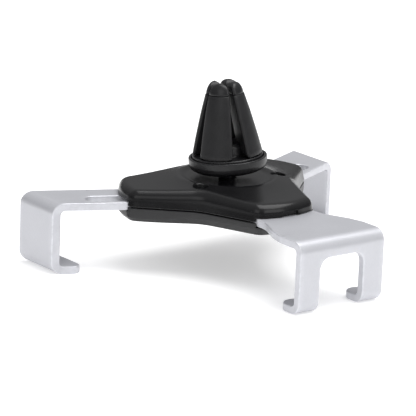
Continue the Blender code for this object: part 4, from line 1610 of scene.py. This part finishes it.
@dataclass
class VentClip:
    """The collar on the ball, and the four jaws that grip a vent's slat."""

    shop: Workshop
    dresser: Dresser
    ring: Tree
    lean: float = math.radians(4.9)
    towards: float = math.radians(142.2)
    swivel: float = math.radians(-14.5)
    collar_r: float = 10.0
    collar_low: float = -2.3
    collar_high: float = 1.2
    core_r: float = 9.0
    socket: float = 3.66
    ball_z: float = 27.0
    levels: tuple[float, ...] = (1.8, 6.0, 10.1, 13.5, 17.6)
    radii: tuple[float, ...] = (8.95, 8.0, 6.95, 6.05, 4.8)
    tip: float = 20.4
    slit_low: float = 2.0
    slit_high: float = 0.4
    sleeve: float = 0.7
    clear: float = 0.3

    def __post_init__(self) -> None:
        """Works out how the collar and the jaws stand."""
        leaning = Vector((math.cos(self.towards), math.sin(self.towards), 0.0))
        tilt = Matrix.Rotation(self.lean, 3, Vector((0, 0, 1)).cross(leaning))
        self.collar_place = Place(tilt, (0.0, 0.0, self.ball_z))
        self.jaw_place = Place(tilt @ Matrix.Rotation(self.swivel, 3, "Z"), (0.0, 0.0, self.ball_z))

    def _sphere(self, low: float, high: float, count: int) -> list[tuple[float, float]]:
        """(radius, height) points of the ball socket between two heights."""
        heights = np.linspace(low, high, count + 1)
        return [(math.sqrt(max(self.socket**2 - z**2, 0.0)), float(z)) for z in heights]

    def collar(self) -> None:
        """Makes the collar: a cup on the ball's lower half, with a rounded rim."""
        r, low, high = self.collar_r, self.collar_low, self.collar_high
        bore = self.core_r + 0.25
        outer = [(r - 1.5, low), (r - 0.25, low + 0.75), (r, low + 1.9), (r, high)]
        outer += [(bore, high), (bore, -0.6)]
        line = [*outer, *self._sphere(-0.6, low, 8)]
        radii = [0.5, 1.2, 1.5, 0.28, 0.15, 0.3, *([0.0] * 9)]
        profile = rounded(line, radii, 7)
        obj = self.shop.solid("collar_ring", spin(profile, 128, closed=True), self.collar_place)
        mark_edges(obj, 9.0)
        self.shop.smooth(obj, 30.0)
        self.dresser.hang(obj, Stock.CLIP_PLASTIC, "collar", "collar")

    def _radius(self, z: float) -> float:
        """The jaws' outer radius at a height."""
        return float(np.interp(z, self.levels, self.radii))

    def _slit(self, z: float) -> float:
        """Half the slit's width at a height."""
        return float(np.interp(z, (self.levels[0], self.levels[-1]), (self.slit_low, self.slit_high)))

    def _quadrant(self, radius: float, gap: float, corner: float = 0.55) -> np.ndarray:
        """A jaw's cross-section: a quarter disc held off both slits, with rounded corners."""
        reach = math.sqrt(radius**2 - gap**2)
        first = math.asin(gap / radius)
        lead = 2.1 * corner / radius
        bow = np.linspace(first + lead, math.pi / 2 - first - lead, 15)
        arc = [(radius * math.cos(a), radius * math.sin(a)) for a in bow]
        corners = [(gap, gap), (reach, gap), *arc, (gap, reach)]
        radii = [0.4, corner, *([0.0] * len(bow)), corner]
        return rounded(corners, radii, 6)

    def _sleeve_shape(self) -> Shape:
        """One rubber sleeve: a tube with rounded rims round a jaw."""
        low, high = self.levels[0] + 0.15, self.levels[-1] - 0.15
        outer = []
        for drop, grow in ((0.22, 0.0), (0.07, 0.07), (0.0, 0.22)):
            outer.append((low + grow, drop))
        outer += [(float(z), 0.0) for z in np.linspace(low + 0.22, high - 0.22, 15)[1:-1]]
        for drop, grow in ((0.0, 0.22), (0.07, 0.07), (0.22, 0.0)):
            outer.append((high - grow, drop))
        rings = [flat_ring(self._quadrant(self._radius(z) - d, self._slit(z) + d), z) for z, d in outer]
        for z in (high, low):
            depth = self.sleeve
            rings.append(flat_ring(self._quadrant(self._radius(z) - depth, self._slit(z) + depth, 0.3), z))
        return loft(rings, closed=True)

    def _jaw_shape(self) -> Shape:
        """One jaw's core with its arched tip."""
        hidden = self.sleeve + 0.02
        rings = [flat_ring(self._quadrant(self._radius(1.8) - hidden, self._slit(1.8) + hidden, 0.3), 1.0)]
        for z in np.linspace(self.levels[0], self.levels[-1] - 0.02, 5):
            plan = self._quadrant(self._radius(z) - hidden, self._slit(z) + hidden, 0.3)
            rings.append(flat_ring(plan, float(z)))
        shoulder = self.levels[-1] + 0.02
        base = self._quadrant(self.radii[-1] - 0.06, self.slit_high + 0.06)
        centre = base.mean(axis=0)
        slope = (self.radii[-2] - self.radii[-1]) / (self.levels[-1] - self.levels[-2])
        lean = np.array([1.0, 1.0]) / math.sqrt(2)
        height = self.tip - shoulder
        rings.append(flat_ring(centre + (base - centre) * 0.97, shoulder))
        for u in (0.03, 0.12, 0.25, 0.4, 0.55, 0.68, 0.79, 0.88, 0.945, 0.985, 1.0):
            scale = math.sqrt(max(1 - u**2.3, 0.0))
            drift = -lean * slope * height * u * 0.75
            plan = centre + drift + (base - centre) * max(scale, 0.02)
            rings.append(flat_ring(plan, shoulder + height * u))
        return loft(rings)

    def jaws(self) -> None:
        """Makes the four jaws and their sleeves, each set repeated about the clip's axis."""
        turn = self.jaw_place.turn.to_euler()
        shift = self.shop.world(np.zeros((1, 3)), Place(shift=self.jaw_place.shift))[0]
        base = {"Count": 4, "Start": 0.0, "Shift": Vector(shift), "Turn": Vector(turn)}
        points, faces = self._sleeve_shape()
        sleeve = self.shop.raw("jaw_sleeves", points * MM, faces)
        mark_edges(sleeve, 14.0)
        sleeve.data.shade_smooth()
        sleeve.data.set_sharp_from_angle(angle=math.radians(40))
        material = self.dresser.materials[Stock.SLEEVE_RUBBER]
        self.ring.apply(sleeve, {**base, "Material": material})
        self.dresser.hang(sleeve, Stock.SLEEVE_RUBBER, "clip", *[f"jaw_sleeve_{i}" for i in (1, 2, 3, 4)])
        points, faces = self._jaw_shape()
        cores = self.shop.raw("jaw_cores", points * MM, faces)
        mark_edges(cores, 14.0)
        cores.data.shade_smooth()
        cores.data.set_sharp_from_angle(angle=math.radians(40))
        material = self.dresser.materials[Stock.CLIP_PLASTIC]
        self.ring.apply(cores, {**base, "Material": material})
        self.dresser.hang(cores, Stock.CLIP_PLASTIC, "clip", "clip_core")

    def hub(self) -> None:
        """Makes the hub that carries the jaws and holds the ball's upper half."""
        floor = -0.3
        line = [(0, floor), (self.core_r, floor), (self.core_r, 1.65), (5.2, 1.7)]
        line += [(5.2, 4.2), (4.2, 4.9), (0, 4.9)]
        profile = rounded(line, [0, 0.2, 0.35, 0.3, 0.5, 0.5, 0], 6, closed=False)
        obj = self.shop.solid("clip_hub", spin(profile, 112), self.jaw_place)
        hollow = [(0.0, -1.2), *self._sphere(-1.2, self.socket * 0.995, 20), (0.0, self.socket)]
        self.shop.change(obj, Operation.CUT, [spin(np.array(hollow), 72)], self.jaw_place)
        mark_edges(obj, 14.0)
        self.shop.smooth(obj, 30.0)
        self.dresser.hang(obj, Stock.CLIP_PLASTIC, "clip", "clip_core")


# ---------------------------------------------------------------- studio


@dataclass
class Studio:
    """A pale floor, soft light and the camera."""

    shop: Workshop
    azimuth: float = math.radians(-37.81)
    elevation: float = math.radians(15.32)
    roll: float = math.radians(2.28)
    distance: float = 768.1
    aim_right: float = -4.53
    aim_up: float = 13.58
    lens: float = 259.6

    def camera(self) -> None:
        """Sets the camera: a long lens, low over the floor and turned slightly about its own axis."""
        a, e, r = self.azimuth, self.elevation, self.roll
        back = Vector((math.sin(a) * math.cos(e), -math.cos(a) * math.cos(e), math.sin(e)))
        right = Vector((math.cos(a), math.sin(a), 0.0))
        up = back.cross(right)
        spot = right * self.aim_right + up * self.aim_up + back * self.distance
        turned_right = right * math.cos(r) + up * math.sin(r)
        turned_up = up * math.cos(r) - right * math.sin(r)
        place = Matrix((turned_right, turned_up, back)).transposed().to_4x4()
        place.translation = Vector(self.shop.world(np.array([tuple(spot)]))[0])
        data = bpy.data.cameras.new("camera")
        data.lens, data.sensor_width, data.clip_end = self.lens, 36.0, 50.0
        data.clip_start = 0.01
        obj = bpy.data.objects.new("camera", data)
        obj.matrix_world = place
        bpy.context.scene.collection.objects.link(obj)
        bpy.context.scene.camera = obj

    def _lamp(self, name: str, size: float, power: float, at: tuple[float, float, float]) -> None:
        """Adds a soft box that faces the holder."""
        data = bpy.data.lights.new(name, "AREA")
        data.shape = "RECTANGLE"
        data.size = data.size_y = size
        data.energy = power
        obj = bpy.data.objects.new(name, data)
        obj.location = at
        obj.rotation_euler = (Vector(at) - Vector((0, 0, 0.015))).to_track_quat("Z", "Y").to_euler()
        bpy.context.scene.collection.objects.link(obj)

    def light(self) -> None:
        """Sets the soft boxes and a pale surround that dims towards the horizon."""
        self._lamp("overhead_box", 0.7, 5.6, (0.16, -0.1, 0.80))
        self._lamp("left_box", 0.5, 0.9, (-0.75, -0.35, 0.45))
        self._lamp("front_box", 0.5, 1.4, (0.15, -0.85, 0.45))
        world = bpy.data.worlds.new("surround")
        world.use_nodes = True
        tree = world.node_tree
        background = tree.nodes["Background"]
        spot = tree.nodes.new("ShaderNodeTexCoord")
        split = tree.nodes.new("ShaderNodeSeparateXYZ")
        ramp = tree.nodes.new("ShaderNodeValToRGB")
        tree.links.new(spot.outputs["Generated"], split.inputs[0])
        tree.links.new(split.outputs["Z"], ramp.inputs[0])
        tree.links.new(ramp.outputs[0], background.inputs["Color"])
        stops = ramp.color_ramp.elements
        stops[0].position, stops[0].color = 0.0, (0.2, 0.2, 0.205, 1)
        stops[1].position, stops[1].color = 0.7, (0.95, 0.95, 0.96, 1)
        background.inputs["Strength"].default_value = 0.6
        bpy.context.scene.world = world
        bpy.context.scene.view_settings.view_transform = "Standard"
        bpy.context.scene.view_settings.look = "None"

    def floor(self) -> None:
        """Lays the pale floor that the hooks stand on."""
        mesh = bpy.data.meshes.new("floor")
        ring = circle(0, 0, 3.0, 64)
        mesh.from_pydata([(x, y, 0.0) for x, y in ring], [], [tuple(range(64))])
        obj = bpy.data.objects.new("floor", mesh)
        bpy.context.scene.collection.objects.link(obj)
        graph = Graph("floor_paper")
        tone = graph.mix(graph.noise(60.0, 2.0), (0.90, 0.90, 0.90, 1), (0.92, 0.92, 0.92, 1))
        graph.feed(graph.shader.inputs["Base Color"], tone)
        graph.shader.inputs["Roughness"].default_value = 0.9
        graph.shader.inputs["Specular IOR Level"].default_value = 0.1
        graph.shader.inputs["Emission Color"].default_value = (1.0, 1.0, 1.0, 1.0)
        graph.shader.inputs["Emission Strength"].default_value = 0.36
        mesh.materials.append(graph.material)


# ---------------------------------------------------------------- everything in order


def main() -> None:
    """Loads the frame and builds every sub-assembly."""
    logging.basicConfig(level=logging.INFO, format="%(name)s %(message)s")
    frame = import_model()
    shop = Workshop(Layout.from_frame())
    dresser = Dresser()
    scatter, ring, wound = scatter_tree(), ring_tree(), spring_tree()

    studio = Studio(shop)
    studio.camera()
    studio.light()
    studio.floor()

    left, right = SideArm(shop, -1), SideArm(shop, 1)
    dresser.hang(left.build(), Stock.ALUMINIUM, "left_slider", "side_arm_left")
    dresser.hang(right.build(), Stock.ALUMINIUM, "right_slider", "side_arm_right")
    dresser.hang(BottomArm(shop).build(), Stock.ALUMINIUM, "bottom_slider", "bottom_arm")

    shells = Shells(shop, right)
    dresser.hang(shells.rear(), Stock.REAR_PLASTIC, "housing", "rear_shell")
    dresser.hang(shells.front(), Stock.FRONT_PLASTIC, "housing", "front_shell")
    base, grips = shells.pad(scatter, dresser.materials[Stock.PAD_RUBBER])
    dresser.hang(base, Stock.PAD_RUBBER, "housing", "front_pad")
    dresser.hang(grips, Stock.PAD_RUBBER, "housing", "front_pad")

    hardware = Hardware(shop, shells, dresser, scatter)
    hardware.screws()
    hardware.bushes()
    hardware.rivets()
    hardware.spring(wound)
    hardware.stud()
    for name, stock in (
        ("cam_plate", Stock.ACETAL),
        ("cam_pin_left", Stock.STEEL),
        ("cam_pin_right", Stock.STEEL),
        ("stud_screw", Stock.STEEL),
    ):
        dresser.keep(frame["nodes"], name, stock)

    clip = VentClip(shop, dresser, ring)
    clip.collar()
    clip.hub()
    clip.jaws()


if __name__ == "__main__":
    main()
